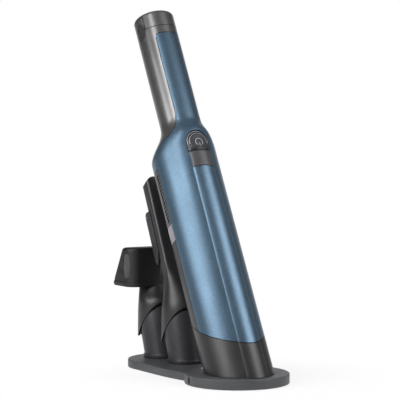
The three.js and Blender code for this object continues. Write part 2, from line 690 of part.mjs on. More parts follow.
function addWorks() {
  const cup = bar(0, cupAt, CUP_R, 0, CUP_TOP).subtract(bar(0, cupAt, CUP_R - CUP_WALL, -1, CUP_TOP + 1));
  vacuum.add(mesh('dust_cup', cup.subtract(belowSeam(CUP_WALL)), SMOKE, 0.15));

  const flange = bar(0, cupAt, CUP_R, flangeLow, flangeLow + FILTER_FLANGE)
    .subtract(bar(0, cupAt, FILTER_R + GAP, flangeLow - 1, FAR));
  vacuum.add(mesh('filter_frame', flange, DARK, 0.5));
  const filterTop = flangeLow + FILTER_FLANGE;
  const pleats = bar(0, cupAt, FILTER_R, FILTER_LOW, filterTop, 24)
    .subtract(bar(0, cupAt, FILTER_R - FILTER_WALL, FILTER_LOW + FILTER_WALL, FAR, 24));
  vacuum.add(mesh('filter', pleats, FOAM, 0.9));

  const tubeR = FAN_R + FAN_SIDE;
  const shroud = bar(0, 0, insideR, shroudLow, shroudLow + SHROUD_THICK)
    .add(bar(0, 0, tubeR + SHROUD_THICK, shroudLow, mountLow - GAP))
    .subtract(bar(0, 0, tubeR, shroudLow + SHROUD_THICK, FAR))
    .subtract(bar(0, 0, SHROUD_EYE, 0, FAR))
    .subtract(rodRoom);
  vacuum.add(mesh('fan_shroud', shroud, DARK, 0.5));

  let mount = bar(0, 0, insideR, mountLow, mountLow + MOUNT_THICK)
    .subtract(bar(0, 0, SHAFT_R + RUN, 0, FAR, 16))
    .subtract(rodRoom);
  let motor = bar(0, 0, MOTOR_R, motorLow, motorHigh)
    .subtract(bar(0, 0, SHAFT_R + RUN, 0, motorLow + SHAFT_IN + RUN, 16));
  for (const side of [-1, 1]) {
    const x = side * SCREW_AT;
    const hole = bar(x, 0, SCREW_R + GAP, mountLow - 1, motorLow + SCREW_IN + RUN, 12);
    mount = mount.subtract(hole);
    motor = motor.subtract(hole);
    const headTop = mountLow - GAP;
    const screw = bar(x, 0, SCREW_R, headTop - SCREW_HEAD / 2, motorLow + SCREW_IN, 12)
      .add(bar(x, 0, SCREW_R * 2, headTop - SCREW_HEAD, headTop, 12));
    vacuum.add(mesh(side < 0 ? 'motor_screw_left' : 'motor_screw_right', screw, STEEL, 0.3, 1));
  }
  vacuum.add(mesh('motor_mount', mount, DARK, 0.5));
  vacuum.add(mesh('motor', motor, STEEL, 0.35, 1));

  let fan = bar(0, 0, FAN_HUB, fanLow, fanLow + FAN_TALL, 20)
    .add(bar(0, 0, FAN_R, fanLow + FAN_TALL - FAN_PLATE, fanLow + FAN_TALL))
    .add(bar(0, 0, SHAFT_R, fanLow, motorLow + SHAFT_IN, 16));
  const bladeEnd = FAN_R - FAN_BLADE_IN;
  for (let k = 0; k < FAN_BLADES; k += 1) {
    const blade = new THREE.BoxGeometry(bladeEnd - FAN_HUB / 2, FAN_BLADE, FAN_TALL - FAN_PLATE / 2);
    blade.translate((bladeEnd + FAN_HUB / 2) / 2, 0, fanLow + FAN_TALL / 2);
    blade.rotateZ(k * 2 * Math.PI / FAN_BLADES);
    fan = fan.add(solid(blade));
  }
  vacuum.add(mesh('fan', fan, DARK, 0.4));
}

function addElectrics() {
  const boardLow = motorHigh + GAP;
  const board = block(-BOARD_HALF, BOARD_HALF, BOARD_Y - BOARD_THICK / 2, BOARD_Y + BOARD_THICK / 2,
    boardLow, boardLow + BOARD_LONG);
  vacuum.add(mesh('circuit_board', board, GREEN, 0.5));
  const key = block(-SWITCH_HALF, SWITCH_HALF, switchFront, switchFront + SWITCH_THICK,
    STEM_S - SWITCH_LONG / 2, STEM_S + SWITCH_LONG / 2);
  vacuum.add(mesh('power_switch', key, BLACK, 0.5));

  const trayR = GRIP_R - WALL - GAP;
  const lowTray = CELL_LOW - GAP - TRAY_THICK;
  const highTray = CELL_LOW + CELL_LONG + GAP;
  vacuum.add(mesh('cell_tray_lower', bar(0, GRIP_AT, trayR, lowTray, lowTray + TRAY_THICK), DARK, 0.5));
  vacuum.add(mesh('cell_tray_upper', bar(0, GRIP_AT, trayR, highTray, highTray + TRAY_THICK), DARK, 0.5));
  const apart = CELL_R + GAP / 2;
  const cell = (x, y, low) => bar(x, y, CELL_R, low, low + CELL_LONG, 24);
  vacuum.add(mesh('battery_cell_left', cell(-apart, GRIP_AT, CELL_LOW), BLUE));
  vacuum.add(mesh('battery_cell_right', cell(apart, GRIP_AT, CELL_LOW), BLUE));
  vacuum.add(mesh('battery_cell_lower', cell(0, CELL_LOWER_Y, lowTray - GAP - CELL_LONG), BLUE));
}

// ---------------------------------------------------------------- dock
const discBottom = FOOT_SHOW;
const boltHeadTop = discBottom + BOLT_SEAT + BOLT_HEAD_TALL;
const feet = [-90, 30, 150].map((degrees) => {
  const angle = THREE.MathUtils.degToRad(degrees);
  return [FOOT_RING * Math.cos(angle), FOOT_RING * Math.sin(angle)];
});
const tailFeet = [
  [-TAIL_FOOT_X, TAIL_FOOT_Y], [TAIL_FOOT_X, TAIL_FOOT_Y], [0, TAIL_END_AT + TAIL_HALF - 2 * FOOT_R],
];

function withFeet(body, places) {
  const cut = (left, [x, y]) => left.subtract(bar(x, y, FOOT_R + GAP, -1, FOOT_TALL + GAP, 20));
  return places.reduce(cut, body);
}

function addDisc() {
  let disc = bar(0, 0, DISC_R, discBottom, DISC_TOP, 60);
  disc = disc.subtract(bar(0, 0, POCKET_R, -1, POCKET_TOP, 40));
  const boss = new THREE.Shape();
  boss.absellipse(0, AXIS_Y + DUCT_AT, BOSS_X, BOSS_Y, 0, 2 * Math.PI, false, 0);
  disc = disc.add(planPrism(boss, DISC_TOP - 1, DISC_TOP + BOSS_TALL));
  const inletX = -Math.sqrt(DISC_R ** 2 - INLET_Y ** 2);
  const inletEnd = inletX + INLET_DEEP;
  const inletHigh = INLET_LOW + INLET_TALL;
  const half = INLET_WIDE / 2;
  disc = disc.subtract(block(-FAR, inletEnd, INLET_Y - half, INLET_Y + half, INLET_LOW, inletHigh));
  for (const side of [-1, 1]) {
    const pinTop = DISC_TOP + MOUTH_CLEAR;
    const pinY = AXIS_Y + PAD_Y;
    disc = disc.subtract(bar(side * PAD_X, pinY, CONTACT_R + GAP, DISC_TOP - CONTACT_DEEP - GAP, FAR, 16));
    const pin = bar(side * PAD_X, pinY, CONTACT_R, DISC_TOP - CONTACT_DEEP, pinTop, 16);
    group.add(mesh(side < 0 ? 'contact_pin_left' : 'contact_pin_right', pin, COPPER, 0.3, 1));
  }
  const lightY = DISC_R - LIGHT_IN;
  disc = disc.subtract(bar(LIGHT_X, lightY, LIGHT_R + GAP, DISC_TOP - LIGHT_TALL - GAP, FAR, 16));
  const lens = bar(LIGHT_X, lightY, LIGHT_R, DISC_TOP - LIGHT_TALL, DISC_TOP + LIGHT_PROUD, 16);
  group.add(mesh('charge_light', lens, LENS, 0.1));
  group.add(mesh('dock_disc', withFeet(disc, feet), DARK, 0.35));

  const lined = half - GAP;
  const open = lined - LINER;
  const socket = block(inletX + LINER, inletEnd - GAP, INLET_Y - lined, INLET_Y + lined,
    INLET_LOW + GAP, inletHigh - GAP);
  const bore = block(-FAR, inletEnd - GAP - LINER, INLET_Y - open, INLET_Y + open,
    INLET_LOW + GAP + LINER, inletHigh - GAP - LINER);
  group.add(mesh('power_inlet', socket.subtract(bore), BLACK, 0.6));

  const cover = bar(0, 0, POCKET_R - GAP, 0, COVER_THICK, 40);
  group.add(mesh('base_cover', cover, BLACK, 0.6));
  const weightTop = POCKET_TOP - GAP;
  const weight = bar(0, 0, BALLAST_R, weightTop - BALLAST_THICK, weightTop, 30);
  group.add(mesh('ballast_plate', weight, STEEL, 0.5, 1));
}

function addTail() {
  const shape = new THREE.Shape();
  shape.moveTo(-TAIL_HALF_FRONT, 0);
  shape.lineTo(TAIL_HALF_FRONT, 0);
  shape.lineTo(TAIL_HALF_FRONT, TAIL_FLARE_FROM);
  shape.quadraticCurveTo(TAIL_HALF, TAIL_FLARE_EASE, TAIL_HALF, TAIL_WIDE_FROM);
  shape.lineTo(TAIL_HALF, TAIL_END_AT);
  shape.absarc(0, TAIL_END_AT, TAIL_HALF, 0, Math.PI, false);
  shape.lineTo(-TAIL_HALF, TAIL_WIDE_FROM);
  shape.quadraticCurveTo(-TAIL_HALF, TAIL_FLARE_EASE, -TAIL_HALF_FRONT, TAIL_FLARE_FROM);
  shape.closePath();
  let tail = planPrism(shape, discBottom, TAIL_TOP).subtract(bar(0, 0, DISC_R + GAP, -1, FAR, 60));
  for (const y of [POST_FRONT_Y, POST_REAR_Y]) {
    tail = tail.subtract(bar(0, y, BOLT_R + GAP, -1, FAR, 16));
    tail = tail.subtract(bar(0, y, BOLT_HEAD + GAP, -1, boltHeadTop + GAP, 16));
  }
  group.add(mesh('dock_tail', withFeet(tail, tailFeet), DARK, 0.35));
  [...feet, ...tailFeet].forEach(([x, y], index) => {
    group.add(mesh(`foot_${index + 1}`, bar(x, y, FOOT_R, 0, FOOT_TALL, 20), BLACK, 0.9));
  });
}

// Everything under the oblique joint between a post and its tool's collar.
function underJoint(collarY, shift) {
  const high = (y) => JOIN_Z + JOIN_SLOPE * (collarY - y) + shift;
  const knee = collarY + (JOIN_Z - JOIN_FOOT) / JOIN_SLOPE;
  const reachY = 2 * COLLAR_R;
  return sidePrism(outline([
    [collarY - reachY, -FAR], [collarY + reachY, -FAR], [collarY + reachY, high(knee)], [knee, high(knee)],
    [collarY - reachY, high(collarY - reachY)],
  ]), -reachY, reachY);
}

function addPost(name, footY) {
  const low = TAIL_TOP + GAP;
  const back = Math.tan(THREE.MathUtils.degToRad(POST_LEAN));
  const top = JOIN_Z + JOIN_SLOPE * COLLAR_R + POST_OVER;
  const flangeTop = low + FLANGE_TALL;
  const stations = [low, flangeTop, flangeTop + FLANGE_STEP, POST_FLARE_TOP, top];
  const post = loft(stations, (z, angle, share) => {
    const flange = z < flangeTop + FLANGE_STEP / 2 ? FLANGE_OUT : 0;
    const grow = smooth(low, POST_FLARE_TOP, z);
    const r = (POST_R_LOW + (POST_R_HIGH - POST_R_LOW) * grow + flange) * share;
    const y = footY + back * Math.max(0, z - flangeTop);
    return [r * Math.sin(angle), y - r * Math.cos(angle), z];
  }, 32);
  const collarY = footY + COLLAR_SHIFT;
  const peg = bar(0, collarY, PEG_R, JOIN_Z - PEG_ROOT, PEG_TOP, 24);
  const boltTop = low + BOLT_LONG;
  const hole = bar(0, footY, BOLT_R + GAP, 0, boltTop, 16);
  const body = post.intersect(underJoint(collarY, 0)).add(peg).subtract(hole);
  group.add(mesh(`${name}_post`, body, GREY, 0.35, 0.2));
  const bolt = bar(0, footY, BOLT_R, discBottom + BOLT_SEAT, boltTop - GAP, 16)
    .add(bar(0, footY, BOLT_HEAD, discBottom + BOLT_SEAT, boltHeadTop, 16));
  group.add(mesh(`${name}_bolt`, bolt, STEEL, 0.3, 1));
}

// ---------------------------------------------------------------- tools
// A tube section: centre, lean, half width across, half depth and squareness.
function tubePoint(cut, angle, share, inset) {
  const lean = THREE.MathUtils.degToRad(cut.lean);
  const power = 2 / cut.square;
  const round = (value) => Math.sign(value) * Math.abs(value) ** power;
  const across = (cut.half - inset) * round(Math.sin(angle)) * share;
  const back = -(cut.deep - inset) * round(Math.cos(angle)) * share;
  return [across, cut.y + back * Math.cos(lean), cut.z - back * Math.sin(lean)];
}

function tubeAlong(distance) {
  const lean = THREE.MathUtils.degToRad(TUBE_LEAN);
  const footY = POST_FRONT_Y + COLLAR_SHIFT + TUBE_BACK;
  return [footY + distance * Math.sin(lean), TUBE_LOW + distance * Math.cos(lean)];
}

function creviceSections() {
  const collarY = POST_FRONT_Y + COLLAR_SHIFT;
  const flat = { lean: TUBE_LEAN, half: TUBE_HALF, deep: TUBE_DEEP, square: TUBE_SQUARE };
  const fair = CREVICE_FAIR.map(([z, back, lean, half, deep, square]) => (
    { y: collarY + back, z, lean, half, deep, square }));
  const ends = [0, TUBE_LONG].map((along) => {
    const [y, z] = tubeAlong(along);
    return { ...flat, y, z };
  });
  const foot = { y: collarY, z: COLLAR_LOW, lean: 0, half: COLLAR_R, deep: COLLAR_R, square: 2 };
  return [foot, ...fair, ...ends];
}

function addCrevice() {
  const collarY = POST_FRONT_Y + COLLAR_SHIFT;
  const cuts = creviceSections();
  const outer = loft(cuts, (cut, angle, share) => tubePoint(cut, angle, share, 0), 32);
  const inner = loft(cuts.map((cut, k) => ({ ...cut, z: cut.z + (k === 0 ? -1 : 0) })),
    (cut, angle, share) => tubePoint(cut, angle, share, TUBE_WALL), 32);
  const [tipY] = tubeAlong(TUBE_LONG);
  const tip = (y) => TIP_Z - TIP_SLANT * (y - tipY);
  const above = sidePrism(outline([[0, tip(0)], [FAR, tip(FAR)], [FAR, 2 * FAR], [0, 2 * FAR]]), -FAR, FAR);
  const pinAlong = ARM_HIGH - cheekRound();
  const [pinY, pinZ] = armPlace(ARM_THICK / 2, pinAlong);
  let body = outer.subtract(inner).subtract(above).subtract(underJoint(collarY, GAP));
  const seat = sidePrism(outline([
    armPlace(-CHEEK_REACH - RECESS_ROOM, ARM_LOW - RECESS_ROOM),
    armPlace(COLLAR_R, ARM_LOW - RECESS_ROOM),
    armPlace(COLLAR_R, ARM_HIGH + RECESS_ROOM),
    armPlace(-CHEEK_REACH - RECESS_ROOM, ARM_HIGH + RECESS_ROOM),
  ]), TUBE_HALF - RECESS_DEEP, COLLAR_R);
  body = body.subtract(seat).subtract(seat.mirror([1, 0, 0]));
  for (const side of [-1, 1]) {
    const near = side < 0 ? -EAR_AT - EAR_THICK : EAR_AT;
    const ear = crossBar(pinY, pinZ, EAR_R, near, near + EAR_THICK, 16);
    const web = sidePrism(outline([
      armPlace(-TUBE_DEEP, pinAlong - EAR_R), armPlace(ARM_THICK / 2, pinAlong - EAR_R),
      armPlace(ARM_THICK / 2, pinAlong + EAR_R), armPlace(-TUBE_DEEP, pinAlong + EAR_R),
    ]), near, near + EAR_THICK);
    body = body.add(ear).add(web.subtract(inner));
  }
  body = body.subtract(crossBar(pinY, pinZ, BRUSH_PIN_R + PIN_ROOM, -ARM_HALF, ARM_HALF, 16));
  group.add(mesh('crevice_tube', body, DARK, 0.35));
  group.add(mesh('brush_pin', crossBar(pinY, pinZ, BRUSH_PIN_R, -ARM_HALF, ARM_HALF, 16), STEEL, 0.3, 1));
  addBrush(pinY, pinZ);
}

// A point behind the crevice tube: out from its rear face, and along it from its foot.
function armPlace(out, along) {
  const lean = THREE.MathUtils.degToRad(TUBE_LEAN);
  const [y, z] = tubeAlong(along);
  const back = TUBE_DEEP + GAP + out;
  return [y + back * Math.cos(lean), z - back * Math.sin(lean)];
}

// Radius of a cheek's round top, which takes in its whole depth.
function cheekRound() {
  return (ARM_THICK + CHEEK_REACH) / 2;
}

// A back plate behind the tube with a cheek on each side of it, all one outline from the side.
function addBrush(pinY, pinZ) {
  const lean = THREE.MathUtils.degToRad(TUBE_LEAN);
  const topAlong = ARM_HIGH - cheekRound();
  const [topY, topZ] = armPlace(ARM_THICK - cheekRound(), topAlong);
  const cheek = new THREE.Shape();
  cheek.moveTo(...armPlace(0, ARM_LOW));
  cheek.lineTo(...armPlace(ARM_THICK * ARM_EASE, ARM_LOW));
  cheek.lineTo(...armPlace(ARM_THICK, ARM_LOW + ARM_CUT));
  cheek.lineTo(...armPlace(ARM_THICK, topAlong));
  cheek.absarc(topY, topZ, cheekRound(), -lean, Math.PI - lean, false);
  cheek.lineTo(...armPlace(-CHEEK_REACH, ARM_LOW + CHEEK_CUT));
  cheek.closePath();
  const half = ARM_THICK / 2;
  const plate = new THREE.Shape();
  plate.moveTo(...armPlace(0, ARM_LOW));
  plate.lineTo(...armPlace(ARM_THICK * ARM_EASE, ARM_LOW));
  plate.lineTo(...armPlace(ARM_THICK, ARM_LOW + ARM_CUT));
  plate.lineTo(...armPlace(ARM_THICK, topAlong));
  plate.absarc(pinY, pinZ, half, -lean, Math.PI - lean, false);
  plate.closePath();
  const inside = ARM_HALF - CHEEK;
  const cheeks = sidePrism(cheek, -ARM_HALF, ARM_HALF, { curveSegments: 12 })
    .subtract(block(-inside, inside, 0, FAR, 0, FAR));
  const notch = sidePrism(outline([
    armPlace(-1, topAlong - EAR_R - EAR_ROOM), armPlace(2 * ARM_THICK, topAlong - EAR_R - EAR_ROOM),
    armPlace(2 * ARM_THICK, ARM_HIGH), armPlace(-1, ARM_HIGH),
  ]), EAR_AT - GAP, EAR_AT + EAR_THICK + GAP);
  const arm = cheeks.add(sidePrism(plate, -inside - 0.5 * CHEEK, inside + 0.5 * CHEEK, { curveSegments: 10 }))
    .subtract(notch).subtract(notch.mirror([1, 0, 0]))
    .subtract(crossBar(pinY, pinZ, BRUSH_PIN_R + PIN_ROOM, -FAR, FAR, 16));
  group.add(mesh('brush_arm', arm, GREY, 0.5));
  const low = ARM_LOW - GAP;
  const tuft = sidePrism(outline([
    armPlace(BRISTLE_SINK, low), armPlace(BRISTLE_SPLAY, low - BRISTLE_LONG),
    armPlace(BRISTLE_SPLAY + BRISTLE_THICK, low - BRISTLE_LONG + BRISTLE_TRIM),
    armPlace(BRISTLE_THICK, low),
  ]), -BRISTLE_HALF, BRISTLE_HALF);
  group.add(mesh('brush_bristles', tuft, SMOKE, 0.9));
}

// Side outline of the upholstery tool's head, each wall moved in by inset.
function headShape(inset) {
  const slope = (HEAD_LOW_BACK - HEAD_TOP_BACK) / (HEAD_TOP - HEAD_LOW - HEAD_LIP);
  const shape = new THREE.Shape();
  shape.moveTo(HEAD_FRONT + inset + HEAD_CORNER, HEAD_LOW + inset);
  shape.lineTo(HEAD_LOW_BACK - HEAD_ROUND - inset, HEAD_LOW + inset);
  const lowBack = HEAD_LOW_BACK - inset;
  shape.quadraticCurveTo(lowBack, HEAD_LOW + inset, lowBack, HEAD_LOW + HEAD_LIP);
  const topBack = HEAD_TOP_BACK + slope * inset - inset;
  shape.lineTo(topBack, HEAD_TOP - inset);
  const front = HEAD_FRONT + inset;
  shape.lineTo(front + HEAD_CORNER, HEAD_TOP - inset);
  shape.quadraticCurveTo(front, HEAD_TOP - inset, front, HEAD_TOP - inset - HEAD_CORNER);
  shape.lineTo(front, HEAD_LOW + inset + HEAD_CORNER);
  shape.quadraticCurveTo(front, HEAD_LOW + inset, front + HEAD_CORNER, HEAD_LOW + inset);
  return shape;
}

function addUpholstery() {
  const collarY = POST_REAR_Y + COLLAR_SHIFT;
  const shell = sidePrism(headShape(0), -HEAD_HALF, HEAD_HALF, { curveSegments: 4 });
  const mouthOut = sidePrism(outline([
    [FAR, HEAD_LOW + HEAD_LIP], [FAR, HEAD_TOP - HEAD_WALL],
    [HEAD_FRONT + HEAD_WALL + MOUTH_CHAMFER, HEAD_TOP - HEAD_WALL],
    [HEAD_FRONT + HEAD_WALL, HEAD_TOP - HEAD_WALL - MOUTH_CHAMFER],
    [HEAD_FRONT + HEAD_WALL, HEAD_LOW + HEAD_LIP],
  ]), -HEAD_HALF + HEAD_WALL, HEAD_HALF - HEAD_WALL);
  const neckTop = HEAD_LOW + HEAD_WALL;
  const neckY = HEAD_FRONT + NECK_R_TOP + GAP;
  const cuts = [
    { z: COLLAR_LOW, y: collarY, r: COLLAR_R },
    ...NECK_FAIR.map(([z, share, r]) => ({ z, y: collarY + (neckY - collarY) * share, r })),
    { z: neckTop, y: neckY, r: NECK_R_TOP },
  ];
  const neckLoft = (inset, more) => loft(cuts, (cut, angle, share) => {
    const far = (cut.r - inset) * share;
    const end = cut.z === COLLAR_LOW ? -more : (cut.z === neckTop ? more : 0);
    return [far * Math.sin(angle), cut.y - far * Math.cos(angle), cut.z + end];
  }, 30);
  const passage = neckLoft(TUBE_WALL, 1)
    .add(bar(0, neckY, NECK_R_TOP - TUBE_WALL, neckTop - 1, HEAD_LOW + HEAD_LIP + 1));
  const neck = neckLoft(0, 0).subtract(underJoint(collarY, GAP));
  let body = shell.subtract(mouthOut).add(neck).subtract(passage);
  const dimple = new THREE.SphereGeometry(1, 16, 8);
  dimple.scale(DIMPLE_SINK, DIMPLE_HALF, DIMPLE_TALL);
  dimple.translate(-HEAD_HALF, HEAD_FRONT + DIMPLE_HALF * 1.5, (HEAD_LOW + HEAD_LIP + HEAD_TOP) / 2);
  body = body.subtract(solid(dimple));
  group.add(mesh('upholstery_head', body, BLACK, 0.4));

  const lipY = HEAD_LOW_BACK - LINT_THICK - LINT_IN;
  const lint = block(-HEAD_HALF + LINT_END, HEAD_HALF - LINT_END, lipY, lipY + LINT_THICK * 2,
    HEAD_LOW + HEAD_LIP + GAP, HEAD_LOW + HEAD_LIP + GAP + LINT_TALL);
  group.add(mesh('lint_strip', lint, SMOKE, 0.95));
}

addShells();
addRearPanels();
addNozzle();
addControls();
addWorks();
addElectrics();
addDisc();
addTail();
addPost('front', POST_FRONT_Y);
addPost('rear', POST_REAR_Y);
addCrevice();
addUpholstery();

export default group;
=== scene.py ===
# %% [markdown]
# A wand vacuum in its charging dock
#
# The object is a slim hand vacuum that leans back in a round-footed dock, with a crevice
# tool and an upholstery tool parked on two posts behind it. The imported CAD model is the
# frame: it fixes where everything is and how it moves. Each step below makes one visible
# piece as a smooth surface worked out with numpy, gives it a finish, and lets it ride on
# the CAD body that carries it. Sizes are written in millimetres and turned into metres
# at the last moment, when the points go into the mesh.

# %% Load the frame
import json
import math
import bmesh
import bpy
import numpy as np
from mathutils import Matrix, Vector

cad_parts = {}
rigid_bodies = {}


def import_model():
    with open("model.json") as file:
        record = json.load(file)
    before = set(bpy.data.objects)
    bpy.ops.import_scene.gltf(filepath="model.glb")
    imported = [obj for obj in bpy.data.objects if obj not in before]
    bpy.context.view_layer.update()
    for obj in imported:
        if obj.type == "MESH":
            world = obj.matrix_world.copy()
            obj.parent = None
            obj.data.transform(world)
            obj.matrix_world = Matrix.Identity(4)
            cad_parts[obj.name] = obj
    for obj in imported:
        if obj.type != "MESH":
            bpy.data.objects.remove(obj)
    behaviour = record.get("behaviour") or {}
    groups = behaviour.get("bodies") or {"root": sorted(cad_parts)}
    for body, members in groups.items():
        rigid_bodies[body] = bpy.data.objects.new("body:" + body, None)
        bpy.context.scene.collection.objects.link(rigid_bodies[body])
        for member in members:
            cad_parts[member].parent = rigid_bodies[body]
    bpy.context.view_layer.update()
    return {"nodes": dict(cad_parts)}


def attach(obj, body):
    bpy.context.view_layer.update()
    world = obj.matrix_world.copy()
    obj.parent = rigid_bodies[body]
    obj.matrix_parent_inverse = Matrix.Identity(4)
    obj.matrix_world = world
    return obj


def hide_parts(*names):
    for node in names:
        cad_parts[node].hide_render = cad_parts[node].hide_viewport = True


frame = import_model()

# %% [markdown]
# The view
#
# The camera stands a good way off with a long lens, a little above the dock and to the
# left of the button side, so that the vacuum shows its front band and one flank. The lens
# is long because a short one would make the tall handle taper away.

# %% Camera
AZIMUTH, ELEVATION = math.radians(-31.3), math.radians(2.86)
# The distance and the point aimed at are in metres, the lens and the film in millimetres.
STAND_OFF, LENS_LONG, FILM_WIDE = 1.741, 157.7, 36.0
AIM = Vector((0.0, 0.0687, 0.1737))
back = Vector((math.sin(AZIMUTH) * math.cos(ELEVATION),
               -math.cos(AZIMUTH) * math.cos(ELEVATION), math.sin(ELEVATION)))
camera = bpy.data.objects.new("camera", bpy.data.cameras.new("camera"))
camera.data.lens, camera.data.sensor_width = LENS_LONG, FILM_WIDE
camera.location = AIM + back * STAND_OFF
camera.rotation_mode = "QUATERNION"
camera.rotation_quaternion = (-back).to_track_quat("-Z", "Y")
camera.data.clip_start, camera.data.clip_end = 0.05, 20.0
bpy.context.scene.collection.objects.link(camera)
bpy.context.scene.camera = camera
bpy.context.scene.view_settings.view_transform = "Standard"
print("camera at", [round(v, 3) for v in camera.location])

# %% [markdown]
# Node shorthand
#
# A material is a small graph. These helpers place a node and fill its inputs by name, each
# with a value or with another node's output, so that each finish further down reads as one
# short recipe. Every recipe starts from the object's own coordinates, which are metres in
# the shared frame.

# %% Node helpers
def feed(node, inputs):
    """Gives each input, by name or number, a value or a link from another node's output."""
    for key, value in inputs.items():
        if isinstance(value, bpy.types.NodeSocket):
            node.id_data.links.new(value, node.inputs[key])
        else:
            node.inputs[key].default_value = value


def add_node(material, kind, inputs=None, **settings):
    """A node of this kind, with its plain settings and its inputs."""
    node = material.node_tree.nodes.new(kind)
    for key, value in settings.items():
        setattr(node, key, value)
    feed(node, inputs or {})
    return node


def fresh_material(name):
    """A named material with an empty graph, its Principled shader and its output, and the
    object's coordinates in metres."""
    made = bpy.data.materials.new(name)
    made.use_nodes = True
    made.node_tree.nodes.clear()
    shader = add_node(made, "ShaderNodeBsdfPrincipled")
    add_node(made, "ShaderNodeOutputMaterial", {"Surface": shader.outputs["BSDF"]})
    return made, shader, add_node(made, "ShaderNodeTexCoord").outputs["Object"]


def srgb(red, green, blue):
    """A display colour from 0 to 255 as linear light: below the toe a straight line,
    above it a power of 2.4."""
    share = np.array([red, green, blue]) / 255
    linear = np.where(share <= 0.04045, share / 12.92, ((share + 0.055) / 1.055) ** 2.4)
    return (*linear.tolist(), 1.0)


def grey(light):
    """A grey as linear light."""
    return (light, light, light, 1.0)


print("node helpers ready")

# %% [markdown]
# Moulded plastic
#
# Nearly every piece is moulded plastic, from satin to glossy. A real moulding is never one
# flat colour: the pigment drifts a little over a hand's width, the sheen varies where it
# has been handled, and the tool leaves a fine grain. A painted image could hold that, but
# noise in the object's own space needs no unwrapping and has no seam, so one recipe with a
# few numbers serves them all. The worn variant lightens sharp edges slightly.

# %% Plastic recipe
def ramp_node(material, factor, stops):
    """A colour ramp: each stop is (place from 0 to 1, colour), linear between them."""
    node = add_node(material, "ShaderNodeValToRGB", {"Fac": factor})
    ramp = node.color_ramp
    while len(ramp.elements) < len(stops):
        ramp.elements.new(0.5)
    for element, (position, colour) in zip(ramp.elements, stops):
        element.position, element.color = position, colour
    return node.outputs["Color"]


def spread(material, factor, low, high):
    """Carries a factor's middle range, 0.3 to 0.7, to low..high."""
    node = add_node(material, "ShaderNodeMapRange", {
        "Value": factor, "From Min": 0.3, "From Max": 0.7, "To Min": low, "To Max": high})
    return node.outputs["Result"]


def noise(material, place, scale, detail=2.0):
    """Smooth noise whose blotches are 1/scale metres wide."""
    node = add_node(material, "ShaderNodeTexNoise",
                    {"Vector": place, "Scale": scale, "Detail": detail})
    return node.outputs["Fac"]


def bumped(material, height, metres):
    """The surface's direction, tilted as if raised by height times this many metres."""
    node = add_node(material, "ShaderNodeBump", {"Height": height, "Distance": metres})
    return node.outputs["Normal"]


def blend(material, kind, first, second):
    """Two colours put together in full, by adding or multiplying."""
    node = add_node(material, "ShaderNodeMixRGB", {"Fac": 1.0, "Color1": first, "Color2": second},
                    blend_type=kind)
    return node.outputs["Color"]


def tint(colour, factor):
    """The colour made lighter or darker by a factor."""
    return (*[min(1.0, part * factor) for part in colour[:3]], 1.0)


# Scale and detail of the drifting pigment and of the handled sheen.
CLOUD, HANDLED = (38.0, 4.0), (22.0, 3.0)


def plastic(name, colour, rough, metal=0.0, coat=0.0, grain=1500.0, depth=1.2e-5,
            drift=0.10, smear=0.05, worn=0.0):
    """Colour drifts by +-drift, roughness by +-smear, and grain is raised by depth."""
    made, shader, place = fresh_material(name)
    cloud = noise(made, place, *CLOUD)
    body = ramp_node(made, cloud, [(0.3, tint(colour, 1 - drift)), (0.7, tint(colour, 1 + drift))])
    if worn:
        edge = add_node(made, "ShaderNodeNewGeometry").outputs["Pointiness"]
        light = ramp_node(made, edge, [(0.52, grey(0.0)), (0.62, grey(worn))])
        body = blend(made, "ADD", body, light)
    handled = noise(made, place, *HANDLED)
    feed(shader, {"Base Color": body, "Metallic": metal, "Coat Weight": coat,
                  "Coat Roughness": 0.12,
                  "Roughness": spread(made, handled, rough - smear, rough + smear),
                  "Normal": bumped(made, noise(made, place, grain), depth)})
    return made


print("plastic recipe ready")

# %% [markdown]
# The plastics of this object
#
# The vacuum is satin grey and dark grey with a darker spine, the dock a matte grey with a
# coarser texture, and the tools nearly black. The handle and the nozzle are partly
# metallic, because their paint holds metal powder and so darkens away from the light.

# %% Mix the plastics
GREY_SATIN = plastic("handle_satin_grey", srgb(118, 117, 117), 0.31, metal=0.8)
POST_GREY = plastic("post_satin_grey", srgb(60, 59, 63), 0.4, metal=0.5)
DOCK_GREY = plastic("dock_textured", srgb(72, 73, 76), 0.5, grain=2600.0, depth=3e-5, worn=0.02)
CAP_GREY = plastic("cap_dark_satin", srgb(52, 52, 55), 0.38)
KEY_GREY = plastic("button_dark_satin", srgb(44, 45, 48), 0.34)
SLIDER_GREY = plastic("slider_satin", srgb(66, 66, 69), 0.4, metal=0.2)
NOZZLE_GLOSS = plastic("nozzle_deep_gloss", srgb(58, 57, 57), 0.4, metal=0.5, drift=0.06)
TOOL_BLACK = plastic("tool_black", srgb(36, 36, 38), 0.36, grain=2200.0, depth=2e-5, worn=0.01)
HEAD_BLACK = plastic("head_black_gloss", srgb(12, 12, 14), 0.5, drift=0.05)
# Paler grey of painted light for the head's dimples, where its corner catches the lamp.
DIMPLE_LIGHT_GREY = plastic("head_dimple_painted_light", srgb(66, 66, 68), 0.45)
SPINE_DARK = plastic("cup_spine_dark", srgb(28, 27, 30), 0.4)
# Black painted shade for the insides and rims of shells, the seams, the slots and the seat floors.
SHADE_BLACK = plastic("painted_shade_black", srgb(17, 17, 18), 0.55)
SMOKE = plastic("smoke_grey", srgb(84, 85, 88), 0.3, drift=0.08)
PALE_LATCH = plastic("latch_pale_grey", srgb(128, 122, 128), 0.32)
# Ink for the printed power mark, and also for the painted highlights on the bezel's rings.
INK_AND_HIGHLIGHT = plastic("symbol_ink_and_painted_highlight", srgb(150, 153, 158), 0.55, drift=0.04)
RUBBER = plastic("foot_rubber", srgb(30, 30, 30), 0.85, grain=3200.0, depth=5e-5, drift=0.15)
print(len(bpy.data.materials), "plastics mixed")

